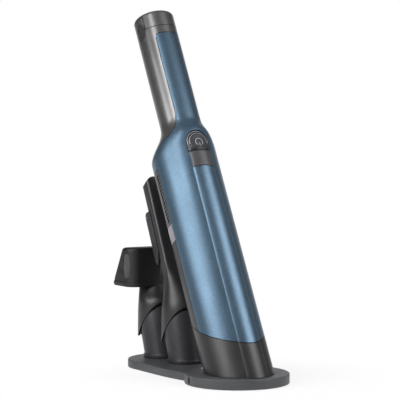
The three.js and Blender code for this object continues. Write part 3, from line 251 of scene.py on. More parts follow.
# %% [markdown]
# The blue shell
#
# The front shell is a slate-blue moulding with a metallic satin lacquer. Its colour comes
# from tiny flakes that lie at slightly different tilts, so it is brighter in the highlight
# and deeper in the shade than plain paint. Mixing a little flake colour through cell noise,
# over a partly metallic base with a thin soft coat, gives that without any image.

# %% Blue lacquer
FLAKES, BLUE_CLOUD, BLUE_HANDLED, BLUE_GRAIN = 2100.0, (18.0, 3.0), (30.0, 3.0), 2400.0


def flake_lacquer(name, colour, pale):
    """Cells of the base colour and a paler flake colour, under a soft coat."""
    made, shader, place = fresh_material(name)
    flakes = add_node(made, "ShaderNodeTexVoronoi", {"Vector": place, "Scale": FLAKES})
    tone = add_node(made, "ShaderNodeSeparateColor", {"Color": flakes.outputs["Color"]})
    speck = ramp_node(made, tone.outputs["Red"],
                      [(0.0, tint(colour, 0.93)), (0.72, colour), (1.0, pale)])
    cloud = noise(made, place, *BLUE_CLOUD)
    shade = ramp_node(made, cloud, [(0.3, (0.94, 0.94, 0.95, 1)), (0.7, grey(1.0))])
    handled = noise(made, place, *BLUE_HANDLED)
    feed(shader, {"Base Color": blend(made, "MULTIPLY", speck, shade), "Metallic": 0.7,
                  "Coat Weight": 0.12, "Coat Roughness": 0.3,
                  "Roughness": spread(made, handled, 0.36, 0.42),
                  "Normal": bumped(made, noise(made, place, BLUE_GRAIN), 6e-6)})
    return made


BLUE = flake_lacquer("blue_satin_lacquer", srgb(78, 102, 121), srgb(95, 120, 138))
print("blue lacquer mixed")

# %% [markdown]
# Metal, lens, felt and bristle
#
# The hidden works need finishes too, because the vacuum lifts off its dock and its mouth
# opens. Screws, pins and the motor can are steel with fine turning lines, the contacts are
# plated, the lamp is a clear lens, the circuit board is green with copper tracks, and the
# filter is felt with a fibrous surface. Stretching the coordinates before the noise turns
# blotches into brushed lines or into fibres.

# %% Other finishes
def stretched(material, place, *scale):
    """Object coordinates scaled apart, so that noise becomes lines along the small axis."""
    node = add_node(material, "ShaderNodeMapping", {"Vector": place, "Scale": scale})
    return node.outputs["Vector"]


def brushed(name, colour, rough, lines=(60.0, 60.0, 3200.0)):
    """Bare metal with fine lines across the third axis."""
    made, shader, place = fresh_material(name)
    fine = noise(made, stretched(made, place, *lines), 1.0, 3.0)
    feed(shader, {"Base Color": ramp_node(made, fine, [(0.3, tint(colour, 0.85)), (0.7, colour)]),
                  "Roughness": spread(made, fine, rough - 0.06, rough + 0.08),
                  "Normal": bumped(made, fine, 8e-6), "Metallic": 1.0})
    return made


def fibrous(name, colour, rough=0.9, scale=900.0, depth=1.5e-4, sheen=0.4):
    """Felt or pile: fibres as stretched noise over a blotchy colour, with sheen."""
    made, shader, place = fresh_material(name)
    strands = noise(made, stretched(made, place, scale, scale * 0.3, scale * 0.8), 1.0, 5.0)
    body = ramp_node(made, strands, [(0.25, tint(colour, 0.6)), (0.75, tint(colour, 1.2))])
    feed(shader, {"Base Color": body, "Normal": bumped(made, strands, depth),
                  "Roughness": rough, "Sheen Weight": sheen})
    return made


def board_finish(name, green, copper):
    """Green mask in two shades, laid as long bricks with copper-coloured joints."""
    made, shader, place = fresh_material(name)
    tracks = add_node(made, "ShaderNodeTexBrick", {
        "Vector": place, "Scale": 160.0, "Color1": green, "Color2": tint(green, 1.4),
        "Mortar": copper})
    feed(shader, {"Base Color": tracks.outputs["Color"], "Roughness": 0.4})
    return made


STEEL = brushed("turned_steel", srgb(190, 192, 196), 0.28)
BRASS = brushed("contact_plate", srgb(214, 178, 112), 0.25)
FELT = fibrous("filter_felt", srgb(214, 210, 198))
NYLON = fibrous("bristle_nylon", srgb(58, 59, 62), rough=0.6, sheen=0.1)
PILE = fibrous("lint_pile", srgb(70, 70, 74), scale=1500.0)
BOARD = board_finish("board_green", srgb(24, 84, 52), srgb(176, 122, 70))
CELL = plastic("cell_sleeve", srgb(84, 118, 150), 0.35, coat=0.3)
LENS = plastic("lamp_lens", srgb(236, 242, 246), 0.15, coat=0.5, drift=0.02)
print(len(bpy.data.materials), "finishes in all")

# %% [markdown]
# Grids of points
#
# Every surface below is a grid of points: rows go up, columns go round, and neighbouring
# points make a quad. Some shells are made of several grids that share an edge, so points
# that coincide are welded by rounding them to a thousandth of a millimetre.

# %% Grids
MM = 0.001
WELD = 1e-3


def grid_faces(rows, columns, start=0):
    """Quads of a grid whose point (row, column) has index row * columns + column."""
    index = start + np.arange(rows * columns).reshape(rows, columns)
    corners = (index[:-1, :-1], index[:-1, 1:], index[1:, 1:], index[1:, :-1])
    return np.stack([corner.ravel() for corner in corners], axis=1)


def welded(points, faces):
    """Points that agree to a thousandth of a millimetre become one; quads that lose a
    corner become triangles, and slivers go. Gives the places of the kept points."""
    keys = np.round(points / WELD).astype(np.int64)
    _, first, back_to = np.unique(keys, axis=0, return_index=True, return_inverse=True)
    kept = []
    for face in back_to.ravel()[faces].tolist():
        ring = [v for k, v in enumerate(face) if v != face[k - 1]]
        if len(set(ring)) == len(ring) and len(ring) > 2:
            kept.append(ring)
    return first, kept


def joined(grids):
    """The points and quads of several grids, one after another."""
    points, faces, start = [], [], 0
    for grid in grids:
        rows, columns = grid.shape[:2]
        points.append(grid.reshape(-1, 3))
        faces.append(grid_faces(rows, columns, start))
        start += rows * columns
    return np.concatenate(points), np.concatenate(faces)


print("points closer than", WELD, "mm become one")

# %% [markdown]
# From points to a piece
#
# A piece is one mesh with its finish, the body that carries it and the CAD nodes that it
# stands in for, all given where it is made. Solidify could give a shell its wall, but a
# seam between two shells needs an exact rim, and a rim and inside painted black as shade.
# So the large shells get their surface a second time, moved in, with a strip of quads
# along the rim.

# %% Pieces
SHARP = 35.0


def piece(name, grids, *looks, **more):
    """One piece from one grid or several, given in millimetres as (rows, columns, 3). What
    follows the grids is its material, body, replaced nodes, slot (not used) and sharpest
    smooth angle."""
    points, faces = joined(grids if isinstance(grids, list) else [grids])
    first, rings = welded(points, faces)
    return mesh_piece(name, points[first], rings, *looks, **more)


def walled_piece(name, outer, inner, *looks, **more):
    """A closed shell from its outer grids and the same grids moved in. An edge that only
    one face uses is the shell's rim, and gets a quad across to its inner twin. The inside
    and the rims get a black painted shade, so a seam between two shells reads as a dark
    line."""
    points, faces = joined(outer)
    first, rings = welded(points, faces)
    count = len(first)
    edges = {(ring[k - 1], ring[k]) for ring in rings for k in range(len(ring))}
    rim = [[b, a, a + count, b + count] for a, b in edges if (b, a) not in edges]
    inside = [[v + count for v in ring[::-1]] for ring in rings]
    verts = np.concatenate([points[first], joined(inner)[0][first]])
    made = mesh_piece(name, verts, rings + inside + sorted(rim), *looks, **more)
    # The inside and the rims take the black painted shade.
    made.data.materials.append(SHADE_BLACK)
    painted_shade_faces = np.arange(len(made.data.polygons)) >= len(rings)
    made.data.polygons.foreach_set("material_index", painted_shade_faces.astype(np.int32))
    return made


def mesh_piece(name, verts, rings, material, body, replaced=(), slot=None, sharp=SHARP):
    """An object at the origin from points in millimetres and rings of their indices."""
    mesh = bpy.data.meshes.new(name)
    mesh.from_pydata((np.asarray(verts) * MM).tolist(), [], rings)
    mesh.polygons.foreach_set("use_smooth", np.ones(len(mesh.polygons), dtype=bool))
    mesh.update()
    mesh.set_sharp_from_angle(angle=math.radians(sharp))
    made = bpy.data.objects.new(name, mesh)
    bpy.context.scene.collection.objects.link(made)
    if material:
        mesh.materials.append(material)
    if body:
        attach(made, body)
    if replaced:
        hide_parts(*replaced)
    return made


print("piece helpers ready")

# %% [markdown]
# Walls, rims and cuts
#
# A thin plate gets its wall from Solidify and a shell its fine rounded rim from Bevel,
# because a real moulding has thickness and its edges catch the light. Openings are cut with
# closed shapes, and each cut is applied at once, so the next step sees the finished mesh.

# %% Walls, rims and cuts
def shelled(made, wall, rim):
    """Gives an open surface its wall, inwards, and rounds the rims."""
    thick = made.modifiers.new("wall", "SOLIDIFY")
    thick.thickness, thick.offset, thick.use_even_offset = wall * MM, -1.0, True
    if rim:
        rounded(made, rim)


def rounded(made, width, angle=48.0):
    """Rounds every edge sharper than an angle."""
    bevel = made.modifiers.new("rim", "BEVEL")
    bevel.width, bevel.segments = width * MM, 2
    bevel.limit_method, bevel.angle_limit = "ANGLE", math.radians(angle)
    bevel.harden_normals = True


def settle(made):
    """Applies the modifiers, so that the mesh is what it looks like."""
    view = bpy.context.evaluated_depsgraph_get()
    final = bpy.data.meshes.new_from_object(made.evaluated_get(view))
    made.modifiers.clear()
    old, made.data = made.data, final
    final.name = made.name
    bpy.data.meshes.remove(old)


def carve(made, cutters):
    """Cuts closed shapes out of a closed piece, then deletes the cutters."""
    for cutter in cutters:
        cut = made.modifiers.new("cut", "BOOLEAN")
        cut.operation, cut.solver, cut.object = "DIFFERENCE", "EXACT", cutter
        cut.material_mode = "TRANSFER" if cutter.data.materials else "INDEX"
        settle(made)
        bpy.data.meshes.remove(cutter.data)
    made.data.set_sharp_from_angle(angle=math.radians(SHARP))


print("wall, rim and cut helpers ready")

# %% [markdown]
# The leaning hull
#
# The vacuum is one long moulding. Across, it is two overlapping circles: a fat one at the
# back and a smaller one pushed forward, whose front makes the raised band. Above a shoulder
# both shrink into the round handle. One function gives a point of that hull from the angle
# round it, the place along it and a depth below the skin, and every shell of the vacuum is
# a patch of it. The seams between the shells are lines in the same two numbers.

# %% The hull as a function
LEAN = math.radians(26.9)
AXIS_Y, DISC_TOP = -3.6, 10.0
BODY_R, BAND_R, BAND_AT, BAND_HALF = 33.0, 20.0, -15.0, 12.0
GRIP_R, GRIP_AT = 20.8, -9.5
SHOULDER_LOW, SHOULDER_HIGH, SHOULDER_LEAD = 228.0, 261.0, 10.0
TOP_S, TOP_ROUND = 384.0, 3.0
# GAP is the play between neighbours, and SEAM the wider line between the shells.
GAP, SEAM = 0.3, 0.6
# Places along the body where an edge's distance is turned into an angle or a depth.
FOOT_AT, BODY_AT, HANDLE_AT, CAP_AT = 60.0, 150.0, 300.0, 372.0
VALLEY_DEEP, VALLEY_WIDE, ANGLE_APART = 0.12, 0.7, 0.01


def smooth(low, high, value):
    """0 below low, 1 above high, and an S-shaped cubic between them."""
    t = np.clip((value - low) / (high - low), 0, 1)
    return t * t * (3 - 2 * t)


def upright(points):
    """From the vacuum's own frame (across, back, along) to the shared frame: a turn about
    X by the lean, then a shift to the foot of the body's axis."""
    x, y, s = points[..., 0], points[..., 1], points[..., 2]
    return np.stack([x, AXIS_Y + y * math.cos(LEAN) + s * math.sin(LEAN),
                     DISC_TOP - y * math.sin(LEAN) + s * math.cos(LEAN)], axis=-1)


def lobes(s):
    """Radius and centre of the rear and front circles at a place along the body."""
    shrink = smooth(SHOULDER_LOW, SHOULDER_HIGH, s)
    shift = smooth(SHOULDER_LOW, SHOULDER_HIGH - SHOULDER_LEAD, s)
    end = np.clip(s - (TOP_S - TOP_ROUND), 0, TOP_ROUND)
    drop = TOP_ROUND - np.sqrt(TOP_ROUND ** 2 - end ** 2)
    return (BODY_R + (GRIP_R - BODY_R) * shrink - drop, GRIP_AT * shift,
            BAND_R + (GRIP_R - BAND_R) * shrink - drop, BAND_AT + (GRIP_AT - BAND_AT) * shrink)


def hull(theta, s, inset=0.0, valley=True):
    """Point of the skin: centre plus reach times (sin, -cos) of the angle, 0 in front.
    The reach is the larger of the two circles' within the band, and a fine valley runs
    along the band's edge."""
    theta, s = np.broadcast_arrays(theta, s)
    r, at, band_r, band_at = lobes(s)
    gap = at - band_at
    side = np.clip(gap * np.sin(theta) / band_r, -1, 1) * band_r
    band = gap * np.cos(theta) + np.sqrt(band_r ** 2 - side ** 2)
    in_band = (np.cos(theta) > 0) & (np.abs(band * np.sin(theta)) <= BAND_HALF + WELD)
    reach = np.where(in_band, np.maximum(r, band), r)
    if valley:
        off = np.abs(np.abs(reach * np.sin(theta)) - BAND_HALF)
        fade = 1 - smooth(SHOULDER_LOW, SHOULDER_HIGH, s)
        sink = VALLEY_DEEP * np.clip(1 - off / VALLEY_WIDE, 0, 1) * fade
        reach = reach - sink * (np.cos(theta) > 0)
    reach = reach - inset
    return np.stack([reach * np.sin(theta), at - reach * np.cos(theta), s + 0 * reach], axis=-1)


def angle_at_x(x, s):
    """Angle of the skin's point at a distance x from the middle, in front. Past the band
    it stays a little beyond the angle of the band's edge, so no two columns cross."""
    r, at, band_r, band_at = lobes(s)
    if x <= BAND_HALF:
        return np.arctan2(x, at - band_at + np.sqrt(band_r ** 2 - x ** 2))
    return np.maximum(np.arcsin(x / r), np.arctan2(
        BAND_HALF, at - band_at + np.sqrt(band_r ** 2 - BAND_HALF ** 2)) + ANGLE_APART)


def angle_at_y(y, s):
    """Angle of the rear circle's point at a place y behind the axis."""
    r, at, _, _ = lobes(s)
    return np.arccos(np.clip((at - y) / r, -1, 1))


SPLIT_Y, STRIP_Y = 0.4, -25.8
ANGLE_STRIP = float(angle_at_y(STRIP_Y, HANDLE_AT))
ANGLE_SPLIT = float(angle_at_y(SPLIT_Y, BODY_AT))
print("strip edge and split, in degrees:", np.degrees([ANGLE_STRIP, ANGLE_SPLIT]).round(1))

# %% [markdown]
# Columns and seams
#
# The shells meet along seams that cross the hull at a slant. If each shell were cut from a
# ready mesh, the cut edges would be ragged; instead the grid itself follows the seams. The
# columns run along the body at fixed angles, with one on each edge that matters: the band's
# valley, the blue strip, the end cap and the side split. Each row is a share of the way
# from a shell's lower seam to its upper one, so the first and last rows lie on the seams.

# %% Columns round the hull
CAP_BACK = -19.2
CAP_ANGLE = float(angle_at_y(CAP_BACK + GAP / 2, CAP_AT))
STOP_COUNTS = (8, 2, 2, 6, 6, 10, 26)
FRONT, STRIP, CAP, SPLIT, REAR = 0, 4, 5, 6, 7


def stop_angles(s, shift=0.0):
    """The angle of each stop at a place along: middle, three round the valley, strip edge,
    cap edge, side split and rear. A shift moves the last edges by that many millimetres."""
    flat = 0 * s
    edges = [angle_at_x(BAND_HALF + d, s) for d in (-VALLEY_WIDE, 0.0, VALLEY_WIDE)]
    return np.stack([flat, *edges, flat + ANGLE_STRIP + shift / GRIP_R,
                     flat + CAP_ANGLE + shift / GRIP_R, flat + ANGLE_SPLIT + shift / BODY_R,
                     flat + math.pi])


def column_set(first, last, both=True):
    """Columns between two stops on one side, or mirrored to both: which stop each follows,
    how far it is to the next stop, and its side."""
    stop = np.concatenate([np.full(STOP_COUNTS[k], k) for k in range(first, last)] + [[last - 1]])
    share = np.concatenate([np.arange(STOP_COUNTS[k]) / STOP_COUNTS[k]
                            for k in range(first, last)] + [[1.0]])
    side = np.ones(len(stop))
    if not both:
        return stop, share, side
    keep = slice(None, 0, -1) if first == FRONT else slice(None, None, -1)
    return (np.concatenate([stop[keep], stop]), np.concatenate([share[keep], share]),
            np.concatenate([-side[keep], side]))


def column_angles(s, columns, shift=0.0):
    """Angle of every grid point: a blend of the two stops that its column lies between."""
    stop, share, side = columns
    stops = stop_angles(s, shift)
    index = np.broadcast_to(stop, s.shape)[None]
    low = np.take_along_axis(stops, index, 0)[0]
    high = np.take_along_axis(stops, index + 1, 0)[0]
    return side * (low + (high - low) * share)


def patch(columns, low, high, rows, shift=0.0, inset=0.0, at=100.0):
    """A patch of the hull: rows at equal shares from the low seam to the high one. The
    seams are read at the columns' angles at one place along the body."""
    first = column_angles(np.full((1, len(columns[0])), at), columns, shift)[0]
    low = low(first) if callable(low) else low + 0 * first
    high = high(first) if callable(high) else high + 0 * first
    s = low + (high - low) * np.linspace(0, 1, rows)[:, None]
    return hull(column_angles(s, columns, shift), s, inset)


def two_sides(first, last, *seams, **more):
    """The same patch on the left and on the right, as two grids."""
    stop, share, side = column_set(first, last, both=False)
    left = (stop[::-1], share[::-1], -side[::-1])
    return [patch(left, *seams, **more), patch((stop, share, side), *seams, **more)]


print("columns all round:", len(column_set(FRONT, REAR)[0]))

# %% [markdown]
# Seam lines
#
# Three seams aren't level: the swept line between the blue shell and the handle, the top of
# the blue strip with its round corners, and the slanted plane of the nozzle. Each is a
# function from the angle round the hull to the place along it, so two shells can follow
# the same line and keep an even gap.

# %% Seams
def spline(points, count=14):
    """A smooth curve through points: on each span a cubic whose slope at each end is half
    the step between that point's neighbours."""
    p = np.array(points, dtype=float)
    before = np.concatenate([p[:1], p[:-1]])[:-1]
    after = np.concatenate([p[2:], p[-1:]])
    a, b = p[:-1, None], p[1:, None]
    t = np.linspace(0, 1, count, endpoint=False)[None, :, None]
    slope_a, slope_b = (b - before[:, None]) / 2, (after[:, None] - a) / 2
    cubic = ((2 * a - 2 * b + slope_a + slope_b) * t ** 3
             + (-3 * a + 3 * b - 2 * slope_a - slope_b) * t ** 2 + slope_a * t + a)
    return np.concatenate([cubic.reshape(-1, p.shape[1]), p[-1:]])


# (Behind, along) points of the swept seam.
SEAM_CURVE = [(33, 219.5), (18, 226.5), (3.2, 235), (-7.3, 240.9), (-19, 244.4), (-24, 252),
              (-25.8, 264)]
STRIP_LOW, DIAGONAL = 264.0, 0.7


def swept_seam(grow):
    """The curved seam between the blue shell and the handle, as a function of the angle.
    It grows on the diagonal, by the same step back and along."""
    y, s = (spline(SEAM_CURVE) + grow * DIAGONAL).T
    angle = angle_at_y(y, s)
    order = np.argsort(angle)

    def seam(theta):
        """Height of the seam; level across the blue strip."""
        at = np.interp(np.abs(theta), angle[order], s[order])
        return np.where(np.abs(theta) <= ANGLE_STRIP + WELD, STRIP_LOW, at)
    return seam


STRIP_TOP, CORNER = 357.5, 3.0


def strip_top(grow):
    """Upper edge of the blue strip, with a quarter circle at each corner."""
    def edge(theta):
        """Level, then down by radius minus root of radius squared less distance squared."""
        radius = CORNER + grow
        over = np.clip(GRIP_R * (np.abs(theta) - ANGLE_STRIP) + CORNER, 0, CORNER) / CORNER
        return STRIP_TOP + grow - radius * (1 - np.sqrt(1 - over ** 2))
    return edge


SEAM_S, SEAM_SLOPE = 44.8, 0.762


def nozzle_seam(shift):
    """The slanted seam of the nozzle: a plane across the hull."""
    return lambda theta: SEAM_S + shift + SEAM_SLOPE * hull(theta, FOOT_AT, 0.0, False)[..., 1]


print("swept seam runs from", SEAM_CURVE[0][1], "to", SEAM_CURVE[-1][1], "mm along")

# %% [markdown]
# Front shell and handle shell
#
# The blue shell covers the front half from the nozzle to the shoulder, wraps thinly round
# the back above the vents, and runs up the handle as a strip. The satin grey handle shell
# fills the rest. The two are made as patches of the same hull with a hairline gap, so the
# swept line between them is the edge of both.

# %% The two big shells
WALL, VENT_TOP, CAP_S, CAP_LID = 2.2, 217.4, 366.5, 380.5
EDGE_LOW = STRIP_TOP - CORNER


def blue_patches(inset):
    """From the nozzle to the vents, from there to the swept seam, and the strip."""
    above_vents = VENT_TOP + GAP
    return [patch(column_set(FRONT, SPLIT), nozzle_seam(GAP), above_vents, 30, inset=inset),
            patch(column_set(FRONT, REAR), above_vents, swept_seam(0.0), 26, inset=inset),
            patch(column_set(FRONT, STRIP), STRIP_LOW, strip_top(0.0), 30, inset=inset,
                  at=HANDLE_AT)]


def under_cap(theta):
    """The strip's top edge in front, and level with its corners everywhere else."""
    in_front = np.abs(theta) <= ANGLE_STRIP + SEAM / GRIP_R + WELD
    return np.where(in_front, strip_top(SEAM)(theta), EDGE_LOW)


def grey_patches(inset):
    """Both sides of the strip, the ring above it, and both sides of the cap's face."""
    return [*two_sides(STRIP, REAR, swept_seam(SEAM), EDGE_LOW, 34, shift=SEAM, inset=inset),
            patch(column_set(FRONT, REAR), under_cap, CAP_S - SEAM, 6, SEAM, inset, HANDLE_AT),
            *two_sides(CAP, REAR, CAP_S - SEAM, CAP_LID - SEAM, 6, shift=SEAM, inset=inset)]


def hull_shell(name, patches, wall, *more):
    """A shell of the vacuum: its patches on the skin, and again a wall further in."""
    outer, inner = [[upright(g) for g in patches(depth)] for depth in (0.0, wall)]
    return walled_piece(name, outer, inner, *more)


front_shell = hull_shell("blue_front_shell", blue_patches, WALL, BLUE, "vacuum",
                         ["front_shell"], "blue_shell")
handle_shell = hull_shell("grey_handle_shell", grey_patches, WALL, GREY_SATIN, "vacuum",
                          ["handle_shell"], "grey_satin")
print("faces of the two shells:", [len(s.data.polygons) for s in (front_shell, handle_shell)])

# %% [markdown]
# Openings in the shells
#
# The blue shell has an arched window for the power button and a slot for the lug of the
# nozzle release; the handle has an oval recess in its side. These are cut with prisms,
# because their edges run across the grid's columns. The cutter is a closed shape: an
# outline carried from one depth to another, with both ends shut.

# %% Cutters
def arch_outline(half, low, high, count=28):
    """Across and along: the base from the left, up the right side, half a circle over the
    top, and down the left side."""
    turn = np.linspace(0, math.pi, count)
    foot, side = np.linspace(-half, half, 10), np.linspace(low, high - half, 8)[1:-1]
    x = np.concatenate([foot, 0 * side + half, half * np.cos(turn), 0 * side - half])
    s = np.concatenate([0 * foot + low, side, high - half + half * np.sin(turn), side[::-1]])
    return np.stack([x, s], axis=1)


def rectangle(x0, x1, y0, y1):
    """Four corners, from the low left one round past the low right one."""
    return np.array([(x0, y0), (x1, y0), (x1, y1), (x0, y1)], dtype=float)


def tube_grid(rings):
    """A stack of closed rings (rows, columns, 3), each end shut at its middle."""
    rings = np.concatenate([rings, rings[:, :1]], axis=1)
    foot, top = [np.repeat(rings[k, :-1].mean(axis=0)[None, None], rings.shape[1], axis=1)
                 for k in (0, -1)]
    return np.concatenate([foot, rings, top])


def prism(outline, carry, depths):
    """Rings of the outline at each depth, with both ends shut."""
    return tube_grid(np.stack([carry(outline, depth) for depth in depths]))


def face_out(made):
    """Turns a closed mesh's faces outwards, whichever way its rings ran."""
    work = bmesh.new()
    work.from_mesh(made.data)
    bmesh.ops.recalc_face_normals(work, faces=work.faces)
    work.to_mesh(made.data)
    work.free()
    return made


def solid(name, grids, *looks, **more):
    """A closed piece with its faces turned outwards."""
    return face_out(piece(name, grids, *looks, **more))


def cutter(grids, finish=None):
    """A closed shape that is only used to cut. Its finish, if any, stays on the cut faces."""
    return solid("cutter", grids, finish, None)


def along_y(outline, depth):
    """An (across, along) outline placed at a depth behind the axis, in the shared frame."""
    return upright(np.insert(outline, 1, depth, axis=1))


print("cutter helpers ready")

# %% Cut the openings
ARCH_HALF, ARCH_LOW, ARCH_TOP = 12.4, 222.4, 244.0
SLOT_HALF, SLOT_LOW, SLOT_TOP = 3.8, 205.3, 220.9
THROUGH_FRONT = (-16.0, -60.0)
window = arch_outline(ARCH_HALF + SEAM, ARCH_LOW - SEAM, ARCH_TOP + SEAM)
lug_slot = rectangle(-SLOT_HALF, SLOT_HALF, SLOT_LOW, SLOT_TOP)
carve(front_shell, [cutter(prism(flat, along_y, THROUGH_FRONT)) for flat in (window, lug_slot)])

INSET_S, INSET_LONG, INSET_WIDE, INSET_ANGLE = 364.8, 9.5, 6.2, math.radians(-81.0)
RECESS_FROM, RECESS_TO = GRIP_R + 9.2, GRIP_R - 1.5


def oval_outline(long, wide, count=40):
    """An ellipse: round the hull by wide, along it by long."""
    turn = np.linspace(0, 2 * math.pi, count, endpoint=False)
    return np.stack([wide * np.cos(turn), long * np.sin(turn)], axis=1)


def out_at(angle, s, centre=0.0):
    """Carries an outline along a line out of a circle's centre, at an angle and a place
    along the body: the outline's first number runs round, its second along."""
    out = np.array([math.sin(angle), -math.cos(angle)])
    across = np.array([-out[1], out[0]])

    def carry(outline, reach):
        """The outline at a reach from the centre."""
        spot = out * reach + outline[:, :1] * across + (0.0, centre)
        return upright(np.insert(spot, 2, s + outline[:, 1], axis=1))
    return carry


recess = prism(oval_outline(INSET_LONG, INSET_WIDE), out_at(INSET_ANGLE, INSET_S, GRIP_AT),
               (RECESS_FROM, RECESS_TO))
carve(handle_shell, [cutter(recess)])
for shell in (front_shell, handle_shell):
    rounded(shell, 0.22)
    settle(shell)
print("window, slot and recess cut")

# %% [markdown]
# End cap and side inset
#
# The handle ends in a cap: a face that reaches down over the front and a lid all round,
# with a softly rounded rim. The rows follow the hull's own rounding near the top, and the
# last ones close to a point in the middle of the lid. A black band of painted shade sits
# inside the seam under the lid, where the real cap overlaps the handle and no light gets
# through. The oval inset is a dished plate in the recess.

# %% Cap and inset
LID_SHARES, LID_SINK = (0.93, 0.9, 0.6, 0.3, 0.0), (0.0, 0.5, 0.5, 0.4, 0.4)
SHADE_BAND_DOWN, SHADE_BAND_UP, SHADE_BAND_NEAR, SHADE_BAND_FAR = 3.0, 1.5, 1.9, 2.15
DISH_DEEP, DISH_RISE = 1.1, 0.5


def cap_rows(columns):
    """The lid: straight up, round the rim by the sine of the turn, then in to the middle by
    shares of the way, each sunk a little."""
    turn = np.linspace(0, math.pi / 2, 8)
    s = np.concatenate([[CAP_LID], TOP_S - TOP_ROUND + TOP_ROUND * np.sin(turn)])[:, None]
    s = np.broadcast_to(s, (len(s), len(columns[0])))
    theta = column_angles(np.minimum(s, CAP_LID), columns)
    wall = hull(theta, s)
    middle = np.array([0.0, GRIP_AT, TOP_S])
    share = np.array(LID_SHARES)[:, None, None]
    sink = np.array(LID_SINK)[:, None, None] * (0, 0, 1)
    return np.concatenate([wall, middle + share * (wall[-1] - middle) - sink])


cap_face = patch(column_set(FRONT, CAP), CAP_S, CAP_LID, 8, shift=-GAP / 2, at=HANDLE_AT)
end_cap = piece("end_cap_shell", [upright(cap_face), upright(cap_rows(column_set(FRONT, REAR)))],
                GREY_SATIN, "vacuum", ["end_cap"], "dark_satin")
shelled(end_cap, wall=1.8, rim=0.25)


def shade_band_ring(low, high, near, far):
    """A black band of painted shade just inside the wall, closed round its section, so no
    light shows in the seam.
    """
    theta = np.linspace(-math.pi, math.pi, 73)[None, :]
    s = np.array([low, high, high, low, low])[:, None]
    return hull(theta, s, np.array([near, near, far, far, near])[:, None])


# A black band of painted shade sits inside the seam under the lid.
seam_shade_band = shade_band_ring(CAP_LID - SHADE_BAND_DOWN, CAP_LID + SHADE_BAND_UP, SHADE_BAND_NEAR, SHADE_BAND_FAR)
piece("cap_seam_shade_band", upright(seam_shade_band), SHADE_BLACK, "vacuum", (), "dark_satin", sharp=50)


def inset_plate(rings=8, count=40):
    """A dished oval: deepest in the middle, and rising with the share squared."""
    share = np.linspace(0, 1, rings)[:, None]
    turn = np.linspace(0, 2 * math.pi, count + 1)[None, :]
    round_by = (INSET_WIDE - GAP) * share * np.cos(turn)
    along = (INSET_LONG - GAP) * share * np.sin(turn)
    depth = DISH_DEEP - DISH_RISE * share ** 2 + 0 * turn
    return hull(INSET_ANGLE + round_by / GRIP_R, INSET_S + along, depth)


side_inset = piece("side_inset_plate", upright(inset_plate()), CAP_GREY, "vacuum",
                   ["side_inset"], "dark_satin")
shelled(side_inset, wall=0.35, rim=0)
print("cap and inset made")

# %% [markdown]
# Vents, latch and spine
#
# Behind the split the body is dark: a vent panel with slanted slots where the motor blows
# out, a paler latch that holds the dust cup, and a plain spine down to the nozzle. The
# slots are one row-and-column pattern of tilted, round-ended slots, each pointing straight
# out of the hull, cut into the panel in one go. They stop just short of the inside, and the
# cutter's black painted shade stays on the faces that it cuts, standing in for the shade
# deep in the real slots with the screen behind them.

# %% Rear panels
VENT_LOW, CATCH_LOW = 159.0, 141.0
VENT_COLS, VENT_ROWS, VENT_ANGLE, VENT_STEP = 2, 14, 100.0, 22.0
VENT_PITCH, VENT_FIRST, VENT_OVER = 3.7, 163.2, 4.0
VENT_LONG, VENT_WIDE, VENT_TILT, VENT_SCREEN = 5.6, 2.0, math.radians(20), 0.4


def slot_outline(long, wide, count=6):
    """A slot with round ends, about its own middle."""
    turn = np.linspace(-math.pi / 2, math.pi / 2, count)
    end = np.stack([(long - wide) / 2 + wide / 2 * np.cos(turn), wide / 2 * np.sin(turn)], axis=1)
    return np.concatenate([end, -end])


cosine, sine = math.cos(VENT_TILT), math.sin(VENT_TILT)
vent_outline = slot_outline(VENT_LONG, VENT_WIDE) @ np.array([[cosine, sine], [-sine, cosine]])
vent_depths = (BODY_R + VENT_OVER, BODY_R - WALL + VENT_SCREEN)
slots = []
for side in (-1, 1):
    for column in range(VENT_COLS):
        angle = side * math.radians(VENT_ANGLE + column * VENT_STEP)
        starts = VENT_FIRST + (np.arange(VENT_ROWS) + column % 2 / 3) * VENT_PITCH
        slots += [prism(vent_outline, out_at(angle, s), vent_depths) for s in starts]


def rear_patches(low, high, rows):
    """The rear half between two seams."""
    return lambda inset: two_sides(SPLIT, REAR, low, high, rows=rows, shift=GAP, inset=inset)


vent_panel = hull_shell("vent_panel_shell", rear_patches(VENT_LOW, VENT_TOP - GAP, 30), WALL,
                        CAP_GREY, "vacuum", ["vent_panel"], "dark_satin")
# The cut faces of the slots keep the cutter's black painted shade.
carve(vent_panel, [cutter(slots, SHADE_BLACK)])
rounded(vent_panel, 0.2)
latch = hull_shell("cup_latch", rear_patches(CATCH_LOW, VENT_LOW - GAP, 6), WALL, PALE_LATCH,
                   "vacuum", ["cup_catch"], "smoke_plastic")
rounded(latch, 0.5)
spine = hull_shell("cup_spine_shell", rear_patches(nozzle_seam(GAP), CATCH_LOW - GAP, 20), WALL,
                   SPINE_DARK, "vacuum", ["cup_spine"], "smoke_plastic")
rounded(spine, 0.3)
print("vent slots:", len(slots))

# %% [markdown]
# The nozzle
#
# Below the slanted seam the body is a dark metallic mouth that stands on the dock. Its wall
# is one more patch of the hull, cut off level by the floor: with the lean, a level plane is
# a slanted line in the hull's own frame, so the lowest row simply follows it. A floor plate
# closes the mouth round an oval throat, and a short upright duct leads the dust inwards.

# %% Nozzle
MOUTH_CLEAR, MOUTH_PLATE, MOUTH_IN = 0.4, 3.0, 2.0
DUCT_LONG, DUCT_AT, DUCT_WALL = 18.0, 4.0, 1.6
THROAT_X, THROAT_Y = 20.5, 13.5


def level_cut(height):
    """Where the hull meets a level plane this far above the disc: along = height over the
    lean's cosine plus depth times its tangent."""
    def cut(theta):
        """Along, at an angle round the hull."""
        depth = hull(theta, FOOT_AT, 0.0, False)[..., 1]
        return height / math.cos(LEAN) + depth * math.tan(LEAN)
    return cut


